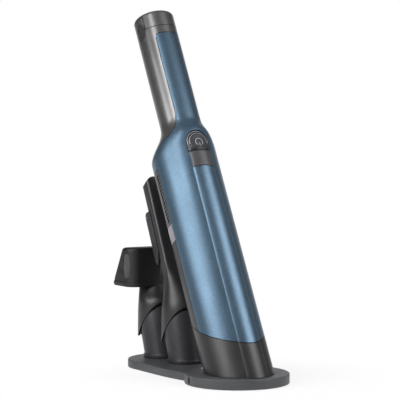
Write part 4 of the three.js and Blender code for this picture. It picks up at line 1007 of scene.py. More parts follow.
def nozzle_patches(inset):
    """The whole ring from the level mouth up to the slanted seam."""
    return [patch(column_set(FRONT, REAR), level_cut(MOUTH_CLEAR), nozzle_seam(-GAP), 24,
                  inset=inset)]


nozzle = hull_shell("nozzle_shell", nozzle_patches, WALL, NOZZLE_GLOSS, "nozzle_door",
                    ["nozzle"], "dark_gloss")
rounded(nozzle, 0.3)


def throat_ring(wall, height, count=64):
    """The throat's ellipse at a height above the disc, grown by a wall."""
    turn = np.linspace(0, 2 * math.pi, count + 1)
    return np.stack([(THROAT_X + wall) * np.sin(turn),
                     AXIS_Y + DUCT_AT - (THROAT_Y + wall) * np.cos(turn),
                     DISC_TOP + height + 0 * turn], axis=-1)


def mouth_rim(height, inset, count=64):
    """The hull's outline on a level plane, by angle."""
    theta = np.linspace(0, 2 * math.pi, count + 1)
    theta = np.where(theta > math.pi, theta - 2 * math.pi, theta)
    return upright(hull(theta, level_cut(height)(theta), inset, False))


def closed(rows):
    """Repeats the first row, or the first point of an outline, at the end."""
    return np.concatenate([rows, rows[:1]])


plate_top = MOUTH_CLEAR + MOUTH_PLATE
duct = [throat_ring(0, MOUTH_CLEAR), throat_ring(0, DUCT_LONG), throat_ring(DUCT_WALL, DUCT_LONG),
        throat_ring(DUCT_WALL, plate_top), mouth_rim(plate_top, MOUTH_IN),
        mouth_rim(MOUTH_CLEAR + GAP, MOUTH_IN)]
solid("nozzle_throat", closed(duct), NOZZLE_GLOSS, "nozzle_door", (), "dark_gloss", sharp=30)
print("nozzle and throat made")

# %% [markdown]
# Hinge of the nozzle
#
# Behind, three knuckles on one pin let the whole mouth swing open like a door: two belong
# to the spine and one to the nozzle. Each is most of a circle with a web that tapers into
# the hull, so one side outline, carried across, makes all three.

# %% Hinge
HINGE_Y = BODY_R + 1.9
HINGE_S = SEAM_S + SEAM_SLOPE * HINGE_Y
KNUCKLE_R, KNUCKLE_HALF, KNUCKLE_SIDE, SEAT_HIGH, SEAT_DOWN = 3.2, 5.0, 6.0, 9.0, 6.0
KNUCKLE_TURN, WEB_IN, WEB_FOOT_IN, WEB_FOOT = (-0.75 * math.pi, 0.55 * math.pi), 0.5, 1.2, 0.3


def knuckle(name, x0, x1, up, body, material):
    """A hinge knuckle: most of a circle, run out by a tapering web to the hull. Up is 1
    for the spine's seat above the axis and -1 for the nozzle's below it."""
    turn = np.linspace(*KNUCKLE_TURN, 20)
    far = SEAT_HIGH if up > 0 else KNUCKLE_R + SEAT_DOWN
    barrel = KNUCKLE_R * np.stack([np.cos(turn), np.sin(turn)], axis=1) + (HINGE_Y, 0)
    web = [(BODY_R - WEB_IN, far), (BODY_R - WEB_FOOT_IN, far * WEB_FOOT)]
    ring = np.concatenate([barrel, web]) * (1, up) + (0, HINGE_S)
    stack = prism(ring, lambda flat, x: upright(np.insert(flat, 0, x, axis=1)), (x0, x1))
    rounded(solid(name, stack, material, body, sharp=30), 0.3)


side_in = KNUCKLE_HALF + GAP
side_out = side_in + KNUCKLE_SIDE
knuckle("spine_knuckle_left", -side_out, -side_in, 1, "vacuum", SMOKE)
knuckle("spine_knuckle_right", side_in, side_out, 1, "vacuum", SMOKE)
knuckle("nozzle_knuckle", -KNUCKLE_HALF, KNUCKLE_HALF, -1, "nozzle_door", NOZZLE_GLOSS)
print("knuckles reach", side_out, "mm to each side")

# %% [markdown]
# Power button
#
# The controls lie on the curved front band, so each is drawn flat, as a spot across and
# along, and then laid on the band's surface. The button sits in an arched bezel with two
# raised rings round it. Bezel and key are one outline each, carried inwards through a
# profile of (share, height) pairs.

# %% Bezel and button
def on_band(flat, proud=0.0):
    """Lays (across, along) spots on the front of the hull, raised by proud."""
    x, s = flat[..., 0], flat[..., 1]
    r, at, band_r, band_at = lobes(s)
    inner = np.minimum(np.abs(x), BAND_HALF)
    y = np.where(np.abs(x) <= BAND_HALF, band_at - np.sqrt(band_r ** 2 - inner ** 2),
                 at - np.sqrt(r ** 2 - x ** 2))
    return upright(np.stack([x, y - proud, s], axis=-1))


def between(outer, inner, profile):
    """A ring band: for each (share, height) of the profile the outline lies that far from
    the outer one to the inner, raised by the height."""
    rows = [on_band(closed(outer + (inner - outer) * share), height) for share, height in profile]
    return np.stack(rows)


BUTTON_HALF, BUTTON_LOW, BUTTON_TOP = 9.4, 223.8, 240.4
arch_out = arch_outline(ARCH_HALF, ARCH_LOW, ARCH_TOP)
arch_in = arch_outline(BUTTON_HALF + GAP, BUTTON_LOW - GAP, BUTTON_TOP + GAP)
BEZEL_PROFILE = [(0.0, -2.0), (0.0, -0.1), (0.05, 0.05), (0.28, 0.1), (0.36, -0.3), (0.5, -0.35),
                 (0.58, 0.05), (0.88, 0.1), (0.96, 0.0), (1.0, -0.3), (1.0, -2.0), (0.0, -2.0)]
solid("button_bezel_ring", between(arch_out, arch_in, BEZEL_PROFILE), KEY_GREY, "vacuum",
      ["button_bezel"], "dark_satin", sharp=50)
button_edge = arch_outline(BUTTON_HALF, BUTTON_LOW, BUTTON_TOP)
button_eye = np.zeros_like(button_edge) + (0.0, BUTTON_TOP - BUTTON_HALF)
BUTTON_PROFILE = [(1.0, -3.2), (0.0, -3.2), (0.0, -0.25), (0.02, -0.05), (0.06, 0.05),
                  (0.14, 0.05), (0.2, -0.12), (0.5, -0.25), (0.8, -0.3), (1.0, -0.3)]
solid("power_button_key", between(button_edge, button_eye, BUTTON_PROFILE), KEY_GREY,
      "power_button", ["power_button"], "dark_satin", sharp=50)
print("bezel and button made")

# %% [markdown]
# Power mark
#
# The key carries a plain printed power mark, and each raised ring of the bezel has a pale
# line of painted highlight, where the ring catches the light. A colour in the plastic would
# need an image, so each is a thin band with edges of its own.

# %% Printed mark and painted highlights
BAND_EDGE_DROP = 0.25


def arc_band(radius, width, start, end, proud, centre, count=40):
    """A thin arc, for the print and for the painted highlights: inner and outer radius about
    a centre, from one turn to another, with both edges turned down into the surface."""
    turn = np.radians(np.linspace(start, end, count))[None, :]
    reach = radius + width * np.array([-0.5, -0.5, 0.5, 0.5])[:, None]
    flat = np.stack([reach * np.cos(turn), centre + reach * np.sin(turn)], axis=-1)
    lift = proud - BAND_EDGE_DROP * np.array([1, 0, 0, 1])
    return np.stack([on_band(row, up) for row, up in zip(flat, lift)])


MARK_S, MARK_UP, HIGHLIGHT_UP = BUTTON_TOP - BUTTON_HALF, -0.12, 0.16
MARK_R, MARK_WIDE, BAR_HALF, BAR_ENDS = 4.0, 0.75, 0.35, (5.0, 0.9)
mark_ring = arc_band(MARK_R, MARK_WIDE, -50, 230, MARK_UP, MARK_S)
piece("power_mark", mark_ring, INK_AND_HIGHLIGHT, "power_button", (), "grey_satin", sharp=60)
bar = np.array([[(x, MARK_S - down) for x in (-BAR_HALF, BAR_HALF)] for down in BAR_ENDS])
mark_bar = piece("power_mark_bar", on_band(bar, MARK_UP), INK_AND_HIGHLIGHT, "power_button", (), "grey_satin")
shelled(mark_bar, wall=0.2, rim=0)
# Name, radius, width and centre of each painted highlight on the bezel's rings.
BEZEL_HIGHLIGHTS = (("bezel_painted_highlight_outer", 11.8, 0.65, ARCH_TOP - ARCH_HALF),
               ("bezel_painted_highlight_inner", 9.9, 0.5, MARK_S))
for name, radius, width, centre in BEZEL_HIGHLIGHTS:
    line = arc_band(radius, width, -8, 188, HIGHLIGHT_UP, centre)
    piece(name, line, INK_AND_HIGHLIGHT, "vacuum", (), "grey_satin", sharp=60)
print("mark printed and bezel highlights painted")

# %% [markdown]
# Release slider
#
# Below the button is the slider that lets the tools go: a thin plate raised over the band,
# with a lug that reaches in through the slot of the shell. Its rounded edge is part of the
# surface's formula, because the edge has to follow the band's curve.

# %% Slider
SLIDER_LOW, SLIDER_TOP, SLIDER_HALF = 205.0, 221.6, 12.4
SLIDER_RISE, SLIDER_FALL, SLIDER_EDGE, SLIDER_WALL = 1.25, 0.7, 0.9, 0.8
LUG_HALF, LUG_LOW, LUG_TOP, LUG_BACK, LUG_FRONT = 3.5, 215.6, 220.6, -29.5, -34.9


def slider_plate(rows=22, columns=30):
    """A raised plate over the band: full height inside, falling over its edge's width as a
    quarter circle. Both ways the grid's lines crowd towards the rim."""
    u = np.linspace(-1, 1, columns)[None, :]
    v = np.linspace(0, 1, rows)[:, None]
    x = SLIDER_HALF * (1.5 * u - 0.5 * u ** 3) + 0 * v
    s = SLIDER_LOW + (SLIDER_TOP - SLIDER_LOW) * v * v * (3 - 2 * v) + 0 * u
    edge = np.minimum.reduce([SLIDER_HALF - np.abs(x), s - SLIDER_LOW, SLIDER_TOP - s])
    fall = 1 - np.sqrt(1 - np.clip(1 - edge / SLIDER_EDGE, 0, 1) ** 2)
    return on_band(np.stack([x, s], axis=-1), SLIDER_RISE - SLIDER_FALL * fall)


slider = piece("release_slider", slider_plate(), SLIDER_GREY, "ejector", ["ejector_slider"],
               "grey_satin")
shelled(slider, wall=SLIDER_WALL, rim=0)
lug_ring = rectangle(-LUG_HALF, LUG_HALF, LUG_LOW, LUG_TOP)
lug = solid("release_lug", prism(lug_ring, along_y, (LUG_BACK, LUG_FRONT)), SLIDER_GREY, "ejector")
rounded(lug, 0.3)
print("slider is", 2 * SLIDER_HALF, "mm wide")

# %% [markdown]
# Dock
#
# The dock is a round foot with a raised boss for the nozzle and a long tail plate behind
# it. A disc could be drawn as a cylinder, but its edge would be knife sharp and catch no
# light. So a side profile with softened corners is turned about the axis. The inlet slot,
# the hole of the lamp and the seats of the feet and pins are cut afterwards.

# %% Turned shapes
def eased(corners, radii, count=5):
    """A line of (out, up) corners, each swapped for a curve between the points one radius
    before and after it: a quadratic whose middle point is the corner."""
    corners = np.array(corners, dtype=float)
    line = [corners[:1]]
    t = np.linspace(0, 1, count)[:, None]
    for before, corner, after, r in zip(corners, corners[1:], corners[2:], radii):
        start = corner + r * (before - corner) / np.linalg.norm(before - corner)
        end = corner + r * (after - corner) / np.linalg.norm(after - corner)
        curve = (1 - t) ** 2 * start + 2 * t * (1 - t) * corner + t ** 2 * end
        line.append(curve if r else corner[None])
    return np.concatenate([*line, corners[-1:]])


def turned(profile, centre=(0.0, 0.0), sides=96, stretch=(1.0, 1.0)):
    """Carries an (out, up) profile round an upright axis, with a stretch each way."""
    turn = np.linspace(0, 2 * math.pi, sides + 1)[None, :]
    r, z = profile[:, :1], profile[:, 1:]
    return np.stack([centre[0] + stretch[0] * r * np.sin(turn),
                     centre[1] - stretch[1] * r * np.cos(turn), z + 0 * turn], axis=-1)


def at_height(outline, z):
    """A flat (x, y) outline at a height."""
    return np.insert(outline, 2, z, axis=1)


def pin_cut(x, y, radius, low, high, sides=28):
    """An upright round cutter."""
    return cutter(turned(rectangle(0, radius, low, high), (x, y), sides))


def box_cut(x0, x1, y0, y1, z0, z1):
    """A cutter with square corners."""
    return cutter(prism(rectangle(x0, x1, y0, y1), at_height, (z0, z1)))


print("turning helpers ready")

# %% Disc and boss
DISC_R, DISC_LOW, POCKET_R, POCKET_TOP = 50.8, 0.4, 36.0, 6.5
BOSS_X, BOSS_Y, BOSS_TOP, BOSS_SINK, DUCT_Y = 19.0, 12.0, 16.0, 0.6, AXIS_Y + DUCT_AT
DISC_PROFILE = eased([(0, DISC_TOP), (DISC_R, DISC_TOP), (DISC_R, DISC_LOW), (POCKET_R, DISC_LOW),
                      (POCKET_R, POCKET_TOP), (0, POCKET_TOP)], [1.1, 0.8, 0.4, 0.0])
disc = solid("dock_disc_body", turned(DISC_PROFILE, sides=144), DOCK_GREY, "dock",
             ["dock_disc"], "dark_satin", sharp=50)
INLET_Y, INLET_DEEP, INLET_HALF, INLET_LOW, INLET_TALL = 6.4, 9.0, 2.0, 1.8, 6.4
inlet_x = -math.sqrt(DISC_R ** 2 - INLET_Y ** 2)
LIGHT_X, LIGHT_Y, LIGHT_R, PIN_X, PIN_Y, PIN_R = -14.0, 39.6, 1.5, 12.0, -27.6, 1.6
FOOT_SEAT, FOOT_TOP, FOOT_RING, HOLE_LOW, BELOW, ABOVE, BESIDE = 4.5, 1.9, 44, 6.7, -1, 20, 60
FEET = [(FOOT_RING * math.cos(a), FOOT_RING * math.sin(a)) for a in np.radians((-90, 30, 150))]
disc_cuts = [box_cut(-BESIDE, inlet_x + INLET_DEEP, INLET_Y - INLET_HALF, INLET_Y + INLET_HALF,
                     INLET_LOW, INLET_LOW + INLET_TALL),
             pin_cut(LIGHT_X, LIGHT_Y, LIGHT_R + GAP, HOLE_LOW, ABOVE)]
disc_cuts += [pin_cut(side * PIN_X, PIN_Y, PIN_R + GAP, HOLE_LOW, ABOVE) for side in (-1, 1)]
carve(disc, disc_cuts + [pin_cut(x, y, FOOT_SEAT, BELOW, FOOT_TOP) for x, y in FEET])
rounded(disc, 0.25, angle=60)
boss_foot = DISC_TOP - BOSS_SINK
boss_side = eased([(0, BOSS_TOP), (1, BOSS_TOP), (1, boss_foot), (0, boss_foot)], [0.08, 0.0])
solid("dock_boss", turned(boss_side, (0, DUCT_Y), 96, (BOSS_X, BOSS_Y)), DOCK_GREY, "dock")
print("disc:", len(disc.data.polygons), "faces")

# %% [markdown]
# Tail plate
#
# The tail starts at a curve that clears the disc, flares a little and ends in half a
# circle. Its plan outline is carried through a side profile like the disc's. Each step in
# moves a point along the bisector of its two edges, so that the soft edge keeps its width
# round the corners.

# %% Tail
TAIL_TOP, TAIL_FRONT_HALF, TAIL_HALF, TAIL_END, TAIL_WIDE = 8.5, 38.5, 42.2, 130.0, 76.0
TAIL_EASE_LOW, TAIL_EASE_AT, TAIL_MIDDLE, SHUT_SHARES = 35.56, 60.8, 77.0, (0.0, 0.55, 0.97)


def tail_outline(count=60):
    """Right side up the flare, half a circle round the end, down the left side, and back
    along the circle that clears the disc."""
    reach = DISC_R + GAP
    start = math.sqrt(reach ** 2 - TAIL_FRONT_HALF ** 2)
    t = np.linspace(0, 1, 24)[:, None]
    flare = ((1 - t) ** 2 * (TAIL_FRONT_HALF, TAIL_EASE_LOW)
             + 2 * t * (1 - t) * (TAIL_HALF, TAIL_EASE_AT) + t ** 2 * (TAIL_HALF, TAIL_WIDE))
    side = np.stack([np.full(8, TAIL_HALF), np.linspace(TAIL_WIDE, TAIL_END, 10)[1:-1]], axis=1)
    right = np.concatenate([[(TAIL_FRONT_HALF, start)], flare, side])
    turn = np.linspace(0, math.pi, count)
    end = np.stack([TAIL_HALF * np.cos(turn), TAIL_END + TAIL_HALF * np.sin(turn)], axis=1)
    horn = math.asin(TAIL_FRONT_HALF / reach)
    back = np.linspace(-horn, horn, count)[1:-1]
    front = np.stack([reach * np.sin(back), reach * np.cos(back)], axis=1)
    return np.concatenate([right, end, right[::-1] * (-1, 1), front])


def drawn_in(outline, inset):
    """Moves each point in along the bisector of its two edges, so that both edges shift
    by the inset."""
    edge = np.roll(outline, -1, axis=0) - outline
    edge /= np.linalg.norm(edge, axis=1, keepdims=True)
    inward = np.stack([-edge[:, 1], edge[:, 0]], axis=1)
    both = inward + np.roll(inward, 1, axis=0)
    both /= np.linalg.norm(both, axis=1, keepdims=True)
    reach = np.clip((both * inward).sum(axis=1, keepdims=True), 0.3, 1)
    return outline + inset * both / reach


def plate(outline, profile, middle):
    """A plan outline carried through (inset, height) pairs, shut by rings that shrink to
    a middle point."""
    rows = np.stack([at_height(drawn_in(outline, inset), z) for inset, z in profile])
    foot, top = [np.array([*middle, z]) for z in profile[[0, -1], 1]]
    share = np.array(SHUT_SHARES)[:, None, None]
    grid = np.concatenate([foot + (rows[0] - foot) * share, rows,
                           top + (rows[-1] - top) * share[::-1]])
    return np.concatenate([grid, grid[:, :1]], axis=1)


tail_side = eased([(0.5, DISC_LOW), (0, DISC_LOW), (0, TAIL_TOP), (1.2, TAIL_TOP)], [0.45, 1.1])
tail = solid("dock_tail_plate", plate(tail_outline(), tail_side, (0, TAIL_MIDDLE)), DOCK_GREY,
             "dock", ["dock_tail"], "dark_satin", sharp=50)
POST_FEET, BOLT_R, BOLT_HEAD, BOLT_HEAD_TOP, TAIL_FOOT_IN = (95.2, 143.4), 2.0, 4.0, 3.5, 8.4
TAIL_FEET = [(-30, 122), (30, 122), (0, TAIL_END + TAIL_HALF - TAIL_FOOT_IN)]
tail_cuts = [pin_cut(x, y, FOOT_SEAT, BELOW, FOOT_TOP) for x, y in TAIL_FEET]
for y in POST_FEET:
    tail_cuts += [pin_cut(0, y, BOLT_R + GAP, BELOW, ABOVE),
                  pin_cut(0, y, BOLT_HEAD + GAP, BELOW, BOLT_HEAD_TOP + GAP)]
carve(tail, tail_cuts)
print("tail plate:", len(tail.data.polygons), "faces")

# %% [markdown]
# Posts
#
# Each post is a round stem that leans back and widens, standing on a low flange. Its top
# is cut by a slanting plane, and the tool's collar is cut by the same plane, so the joint
# reads as one thin dark curve. The height of that cut is worked out for every column of
# the grid, so the rim is exact and no modifier has to slice anything.

# %% Posts
JOIN_Z, JOIN_SLOPE, JOIN_FOOT, COLLAR_SHIFT = 38.5, 1.48, 29.0, 9.6
POST_LEAN, POST_LOW, POST_FLARE_TOP = math.radians(14.8), 8.8, 60.0
POST_R_LOW, POST_R_HIGH, POST_FOOT_IN, TOP_SHARES = 18.5, 20.5, 0.5, (0.975, 0.6, 0.0)
FLANGE_TALL, FLANGE_OUT, EASE_DOWN, EASE_UP = 3.4, 1.0, 0.5, 0.6
PEG_R, PEG_LOW, PEG_TOP, BOLT_TOP = 11.0, 26.5, 62.0, 30.8
SEAM_EASE = 0.4
POST_CUT_FROM, POST_CUT_TO = 15.0, 80.0
FLANGE_ROWS = (0, 0.3, 0.6, 1.0, 2.0, 2.6, 2.9, 3.2, 3.5, 3.8, 4.1, 4.5)


def joint_height(y, collar_y, shift=0.0):
    """Height of the slanting joint: it falls towards the back, and is level at its foot."""
    return np.maximum(JOIN_Z + JOIN_SLOPE * (collar_y - y), JOIN_FOOT) + shift


def bisected(above, low, high, steps=24):
    """For each column, where a test that grows along the column turns positive."""
    for _ in range(steps):
        middle = (low + high) / 2
        over = above(middle) > 0
        low, high = np.where(over, low, middle), np.where(over, middle, high)
    return (low + high) / 2


def post_point(turn, z, foot_y):
    """Round a leaning stem whose radius eases from one size to the next with height."""
    r = POST_R_LOW + (POST_R_HIGH - POST_R_LOW) * smooth(POST_LOW, POST_FLARE_TOP, z)
    flange_top = POST_LOW + FLANGE_TALL
    r = r + FLANGE_OUT * (1 - smooth(flange_top - EASE_DOWN, flange_top + EASE_UP, z))
    r = r - POST_FOOT_IN * (1 - smooth(POST_LOW - EASE_UP, POST_LOW + EASE_UP, z))
    y = foot_y + math.tan(POST_LEAN) * np.maximum(0, z - flange_top)
    return np.stack([r * np.sin(turn), y - r * np.cos(turn), z + 0 * r], axis=-1)


def post(name, foot_y, node, sides=96):
    """Rows from the flange to the slanting cut, the flange rows close together."""
    turn = np.linspace(0, 2 * math.pi, sides + 1)
    collar_y = foot_y + COLLAR_SHIFT

    def over_cut(z):
        """How far a height stands above the cut."""
        return z - joint_height(post_point(turn, z, foot_y)[:, 1], collar_y, -SEAM_EASE)

    top = bisected(over_cut, np.full(sides + 1, POST_CUT_FROM), np.full(sides + 1, POST_CUT_TO))
    low = np.array(FLANGE_ROWS)[:, None] + POST_LOW
    share = np.linspace(0, 1, 40)[1:, None]
    heights = np.concatenate([low + 0 * turn, low[-1] + (top - low[-1]) * share])
    rows = post_point(turn[None, :], heights, foot_y)
    floor_row = rows[:1] * (0, 0, 1) + (0, foot_y, 0)
    centre = np.array([0, collar_y, JOIN_Z])
    inner = centre + (rows[-1:] - centre) * np.array(TOP_SHARES)[:, None, None]
    inner[..., 2] = joint_height(inner[..., 1], collar_y, -SEAM_EASE)
    stem = solid(name, np.concatenate([floor_row, rows, inner]), POST_GREY, "dock", [node],
                 "grey_satin")
    carve(stem, [pin_cut(0, foot_y, BOLT_R + GAP, 0, BOLT_TOP)])
    rounded(stem, 0.3, angle=60)
    peg_side = eased(rectangle(0, PEG_R, PEG_LOW, PEG_TOP), [0.0, 0.8])
    solid(name + "_peg", turned(peg_side, (0, collar_y), 64), POST_GREY, "dock")


post("front_post_stem", POST_FEET[0], "front_post")
post("rear_post_stem", POST_FEET[1], "rear_post")
print("posts and pegs made")

# %% [markdown]
# Tubes that change their section
#
# Both tools have a collar that bends and changes shape on its way up. The cross section is
# a superellipse, which turns from a circle into a soft rectangle by one number, the
# squareness. A table gives the section at a few heights; it is read off finely and averaged
# along its length, so the bend is smooth.

# %% Tube sections
LOW_CUT_TO, HIGH_CUT_FROM, CORNERS, CORNER_PULL = 0.9, 0.5, 4, 0.5


def section_table(stations, step=0.6, window=15):
    """Stations (height, depth, lean, half width, half depth, squareness) read off at even
    steps of their length, then averaged over a window."""
    rows = np.array(stations, dtype=float)
    length = np.concatenate([[0], np.cumsum(np.linalg.norm(np.diff(rows[:, :2], axis=0), axis=1))])
    at = np.linspace(0, length[-1], int(length[-1] / step))
    fine = np.stack([np.interp(at, length, column) for column in rows.T], axis=1)
    pad = window // 2
    long = np.concatenate([2 * fine[:1] - fine[pad:0:-1], fine,
                           2 * fine[-1:] - fine[-2:-pad - 2:-1]])
    soft = np.stack([np.convolve(column, np.full(window, 1 / window), "valid")
                     for column in long.T], axis=1)
    return np.linspace(0, 1, len(soft)), soft


def tube_point(table, turn, t, inset=0.0):
    """Round a superellipse: each of sine and cosine keeps its sign and is raised to two
    over the squareness; the ring is tipped back by the lean."""
    share, rows = table
    z, y, lean, half, deep, square = (np.interp(t, share, column) for column in rows.T)
    across = np.sign(np.sin(turn)) * np.abs(np.sin(turn)) ** (2 / square) * (half - inset)
    back = -np.sign(np.cos(turn)) * np.abs(np.cos(turn)) ** (2 / square) * (deep - inset)
    lean = np.radians(lean)
    return np.stack([across, y + back * np.cos(lean), z - back * np.sin(lean)], axis=-1)


def tube_turns(square, sides=112):
    """Angles whose superellipse points lie at even steps: corners get more of them."""
    even = np.linspace(0, 2 * math.pi, sides + 1)
    pull = (1 - 2 / square) * CORNER_PULL
    return even + pull * np.sin(CORNERS * even) / CORNERS


def tube_skin(table, low_test, high_test, inset, rows=110, sides=112, square=2.6):
    """Rows of the tube between two cuts, each found column by column in its own share of
    the length; without a high test the tube runs to the end of its table."""
    turn = tube_turns(square, sides)
    none, full = np.zeros(sides + 1), np.ones(sides + 1)

    def cut_at(test, low, high):
        """The share of the length where a test turns positive."""
        return bisected(lambda t: test(tube_point(table, turn, t, inset)), low, high)

    start = cut_at(low_test, none, LOW_CUT_TO * full)
    end = cut_at(high_test, HIGH_CUT_FROM * full, full) if high_test else full
    share = np.linspace(0, 1, rows)[:, None]
    return tube_point(table, turn[None, :], start + (end - start) * share, inset)


print("tube helpers ready")

# %% [markdown]
# Crevice tool
#
# A collar that grows out of its post, bends back and narrows into a flat tube with a
# slanted tip. Inner and outer skin come from the same table, which makes the tube truly
# hollow, as the real one is.

# %% Crevice tube
COLLAR_R, COLLAR_LOW, TUBE_WALL = 21.0, 10.0, 1.8
TUBE_LEAN, TUBE_BACK, TUBE_LOW, TUBE_LONG = 25.0, 9.7, 106.0, 96.0
TUBE_HALF, TUBE_DEEP, TUBE_SQUARE = 16.2, 6.8, 6.0
TIP_Z, TIP_SLANT, TIP_ROUND, TIP_SIDE, TIP_FLAT = 189.0, 0.9, 0.05, 0.07, 8.0
crevice_y = POST_FEET[0] + COLLAR_SHIFT


def tube_along(distance):
    """Depth and height of the flat tube's axis, this far up from its foot."""
    lean = math.radians(TUBE_LEAN)
    return crevice_y + TUBE_BACK + distance * math.sin(lean), TUBE_LOW + distance * math.cos(lean)


(foot_y, foot_z), (tip_y, tip_z) = tube_along(0), tube_along(TUBE_LONG)
# (Height, back, lean in degrees, half width, half depth, squareness) up to the flat tube.
CREVICE = [(COLLAR_LOW, 0, 0, 21, 21, 2), (58, 0, 0, 20.5, 20.5, 2), (66, 0.2, 2, 20, 19.9, 2),
           (73, 1.2, 7, 18.5, 17.2, 2), (84, 3.4, 14, 16.7, 13, 2.4), (97, 7.1, 21, 15.9, 9, 3.4)]
stations = [(z, crevice_y + back, *rest) for z, back, *rest in CREVICE]
flat = (TUBE_LEAN, TUBE_HALF, TUBE_DEEP, TUBE_SQUARE)
crevice_table = section_table([*stations, (foot_z, foot_y, *flat), (tip_z, tip_y, *flat)])


def over_joint(collar_y):
    """Positive above the slanting joint and its gap."""
    return lambda spot: spot[:, 2] - joint_height(spot[:, 1], collar_y, GAP + SEAM_EASE / 2)


def over_tip(spot):
    """Positive beyond the slanted tip. Past the middle it also falls away as the square
    of the distance to the back and to each side."""
    back, out = spot[:, 1] - tip_y, np.maximum(np.abs(spot[:, 0]) - TIP_FLAT, 0)
    rounding = TIP_ROUND * np.maximum(back, 0) ** 2 + TIP_SIDE * out ** 2
    return spot[:, 2] - TIP_Z + TIP_SLANT * back + rounding


skins = [tube_skin(crevice_table, over_joint(crevice_y), over_tip, inset)
         for inset in (0, TUBE_WALL)]
crevice = walled_piece("crevice_tube_body", skins[:1], skins[1:], TOOL_BLACK, "crevice_tool",
                       ["crevice_tube"], "dark_satin", sharp=50)
face_out(crevice)
print("tube body:", len(crevice.data.polygons), "faces")

# %% [markdown]
# Seat and ears for the brush
#
# The flip brush folds round the back of the tube and lies in a shallow seat in each side.
# Its pin runs through two ears that stand on the tube's rear face. Seat, ears and brush are
# all drawn in one frame that leans with the tube: out from it, along it and across it.

# %% Seat and ears
ARM_HALF, ARM_THICK, ARM_LOW, ARM_HIGH = 17.1, 4.2, 4.0, 60.5
CHEEK, CHEEK_REACH, CHEEK_CUT, RECESS_DEEP, RECESS_ROOM = 1.4, 5.3, 13.0, 0.8, 0.6
EAR_AT, EAR_THICK, EAR_R, EAR_ROOM, EAR_SINK, EAR_RIM = 9.0, 3.0, 2.6, 1.2, 1.8, 0.4
PIN_HOLE, SAME_FACE = 1.1, 0.05
CHEEK_R = (ARM_THICK + CHEEK_REACH) / 2
PIN_OUT, PIN_ALONG = ARM_THICK / 2, ARM_HIGH - CHEEK_R


def behind_tube(grid):
    """Takes (out, along, across) points behind the tube's rear face into place."""
    lean = math.radians(TUBE_LEAN)
    y, z = tube_along(grid[..., 1])
    back = TUBE_DEEP + GAP + grid[..., 0]
    return np.stack([grid[..., 2], y + back * math.cos(lean), z - back * math.sin(lean)], axis=-1)


def side_plate(outline, x0, x1, edge, middle):
    """A plate standing along the tube, from x0 to x1 across, its two faces eased."""
    side = eased([(edge * 1.5, x0), (0, x0), (0, x1), (edge * 1.5, x1)], [edge, edge], 4)
    return behind_tube(plate(outline, side, middle))


def side_cut(low, high, front, back, x0, x1):
    """A cutter in the same frame, with square corners."""
    ring = rectangle(front, back, low, high)
    return cutter(prism(ring, lambda flat, x: behind_tube(at_height(flat, x)), (x0, x1)))


seat = (ARM_LOW - RECESS_ROOM, ARM_HIGH + RECESS_ROOM, -CHEEK_REACH - RECESS_ROOM, COLLAR_R)
floor_x = TUBE_HALF - RECESS_DEEP
carve(crevice, [side_cut(*seat, floor_x, COLLAR_R), side_cut(*seat, -COLLAR_R, -floor_x)])
rounded(crevice, 0.3, angle=55)
settle(crevice)

# The two flat floors of the seat get the black painted shade of the tube's inside, as the
# shade in the recess.
sides = crevice.data.polygons
spots, finish = np.empty(3 * len(sides)), np.empty(len(sides), dtype=np.int32)
sides.foreach_get("center", spots)
sides.foreach_get("material_index", finish)
spots = spots.reshape(-1, 3) / MM
finish[(np.abs(np.abs(spots[:, 0]) - floor_x) < SAME_FACE) & (spots[:, 2] > TUBE_LOW)] = 1
sides.foreach_set("material_index", finish)

turn = np.linspace(-math.pi / 2, math.pi / 2, 16)
ear_ring = np.concatenate([
    [(-EAR_SINK, PIN_ALONG - EAR_R - 1.0), (-1.0, PIN_ALONG - EAR_R)],
    np.stack([PIN_OUT + EAR_R * np.cos(turn), PIN_ALONG + EAR_R * np.sin(turn)], axis=1),
    [(-1.0, PIN_ALONG + EAR_R), (-EAR_SINK, PIN_ALONG + EAR_R + 1.0)]])
for side, name in ((-1, "brush_ear_left"), (1, "brush_ear_right")):
    near, far = sorted((side * EAR_AT, side * (EAR_AT + EAR_THICK)))
    ear = side_plate(ear_ring, near, far, EAR_RIM, (0.5, PIN_ALONG))
    solid(name, ear, TOOL_BLACK, "crevice_tool", (), "dark_satin", sharp=50)
print("tube with its seat:", len(crevice.data.polygons), "faces")

# %% [markdown]
# Brush arm
#
# A folding arm wraps the tube from behind: a back plate with a cheek on each side, which
# lies in the seat. Plate and cheeks are side outlines with eased faces, and the cheeks
# have a fine round groove about their hub.

# %% Arm
ARM_CUT, ARM_EASE, GROOVE_R, GROOVE_WIDE, GROOVE_DEEP = 6.0, 0.7, 4.0, 0.4, 0.35
ARM_OVERLAP, ARM_RIM, CHEEK_RIM, BEYOND = 0.6, 0.4, 0.45, 20.0


def arm_outline(top_out, top_r, front_low):
    """Up the back from the foot, half a circle over the top, and down the front."""
    foot = eased([(top_out - top_r, front_low), (0, ARM_LOW), (ARM_THICK * ARM_EASE, ARM_LOW),
                  (ARM_THICK, ARM_LOW + ARM_CUT), (ARM_THICK, PIN_ALONG - 0.5)], [0.6, 0.8, 1.6])
    turn = np.linspace(0, math.pi, 28)
    over = np.stack([top_out + top_r * np.cos(turn), PIN_ALONG + top_r * np.sin(turn)], axis=1)
    return np.concatenate([foot, over])


plate_ring = arm_outline(PIN_OUT, PIN_OUT, ARM_LOW + 0.8)
inside = ARM_HALF - CHEEK
plate_half = inside + ARM_OVERLAP
arm_plate = side_plate(plate_ring, -plate_half, plate_half, ARM_RIM, (PIN_OUT, 32.0))
arm = solid("brush_arm_plate", arm_plate, POST_GREY, "brush", ["brush_arm"], "grey_satin",
            sharp=50)


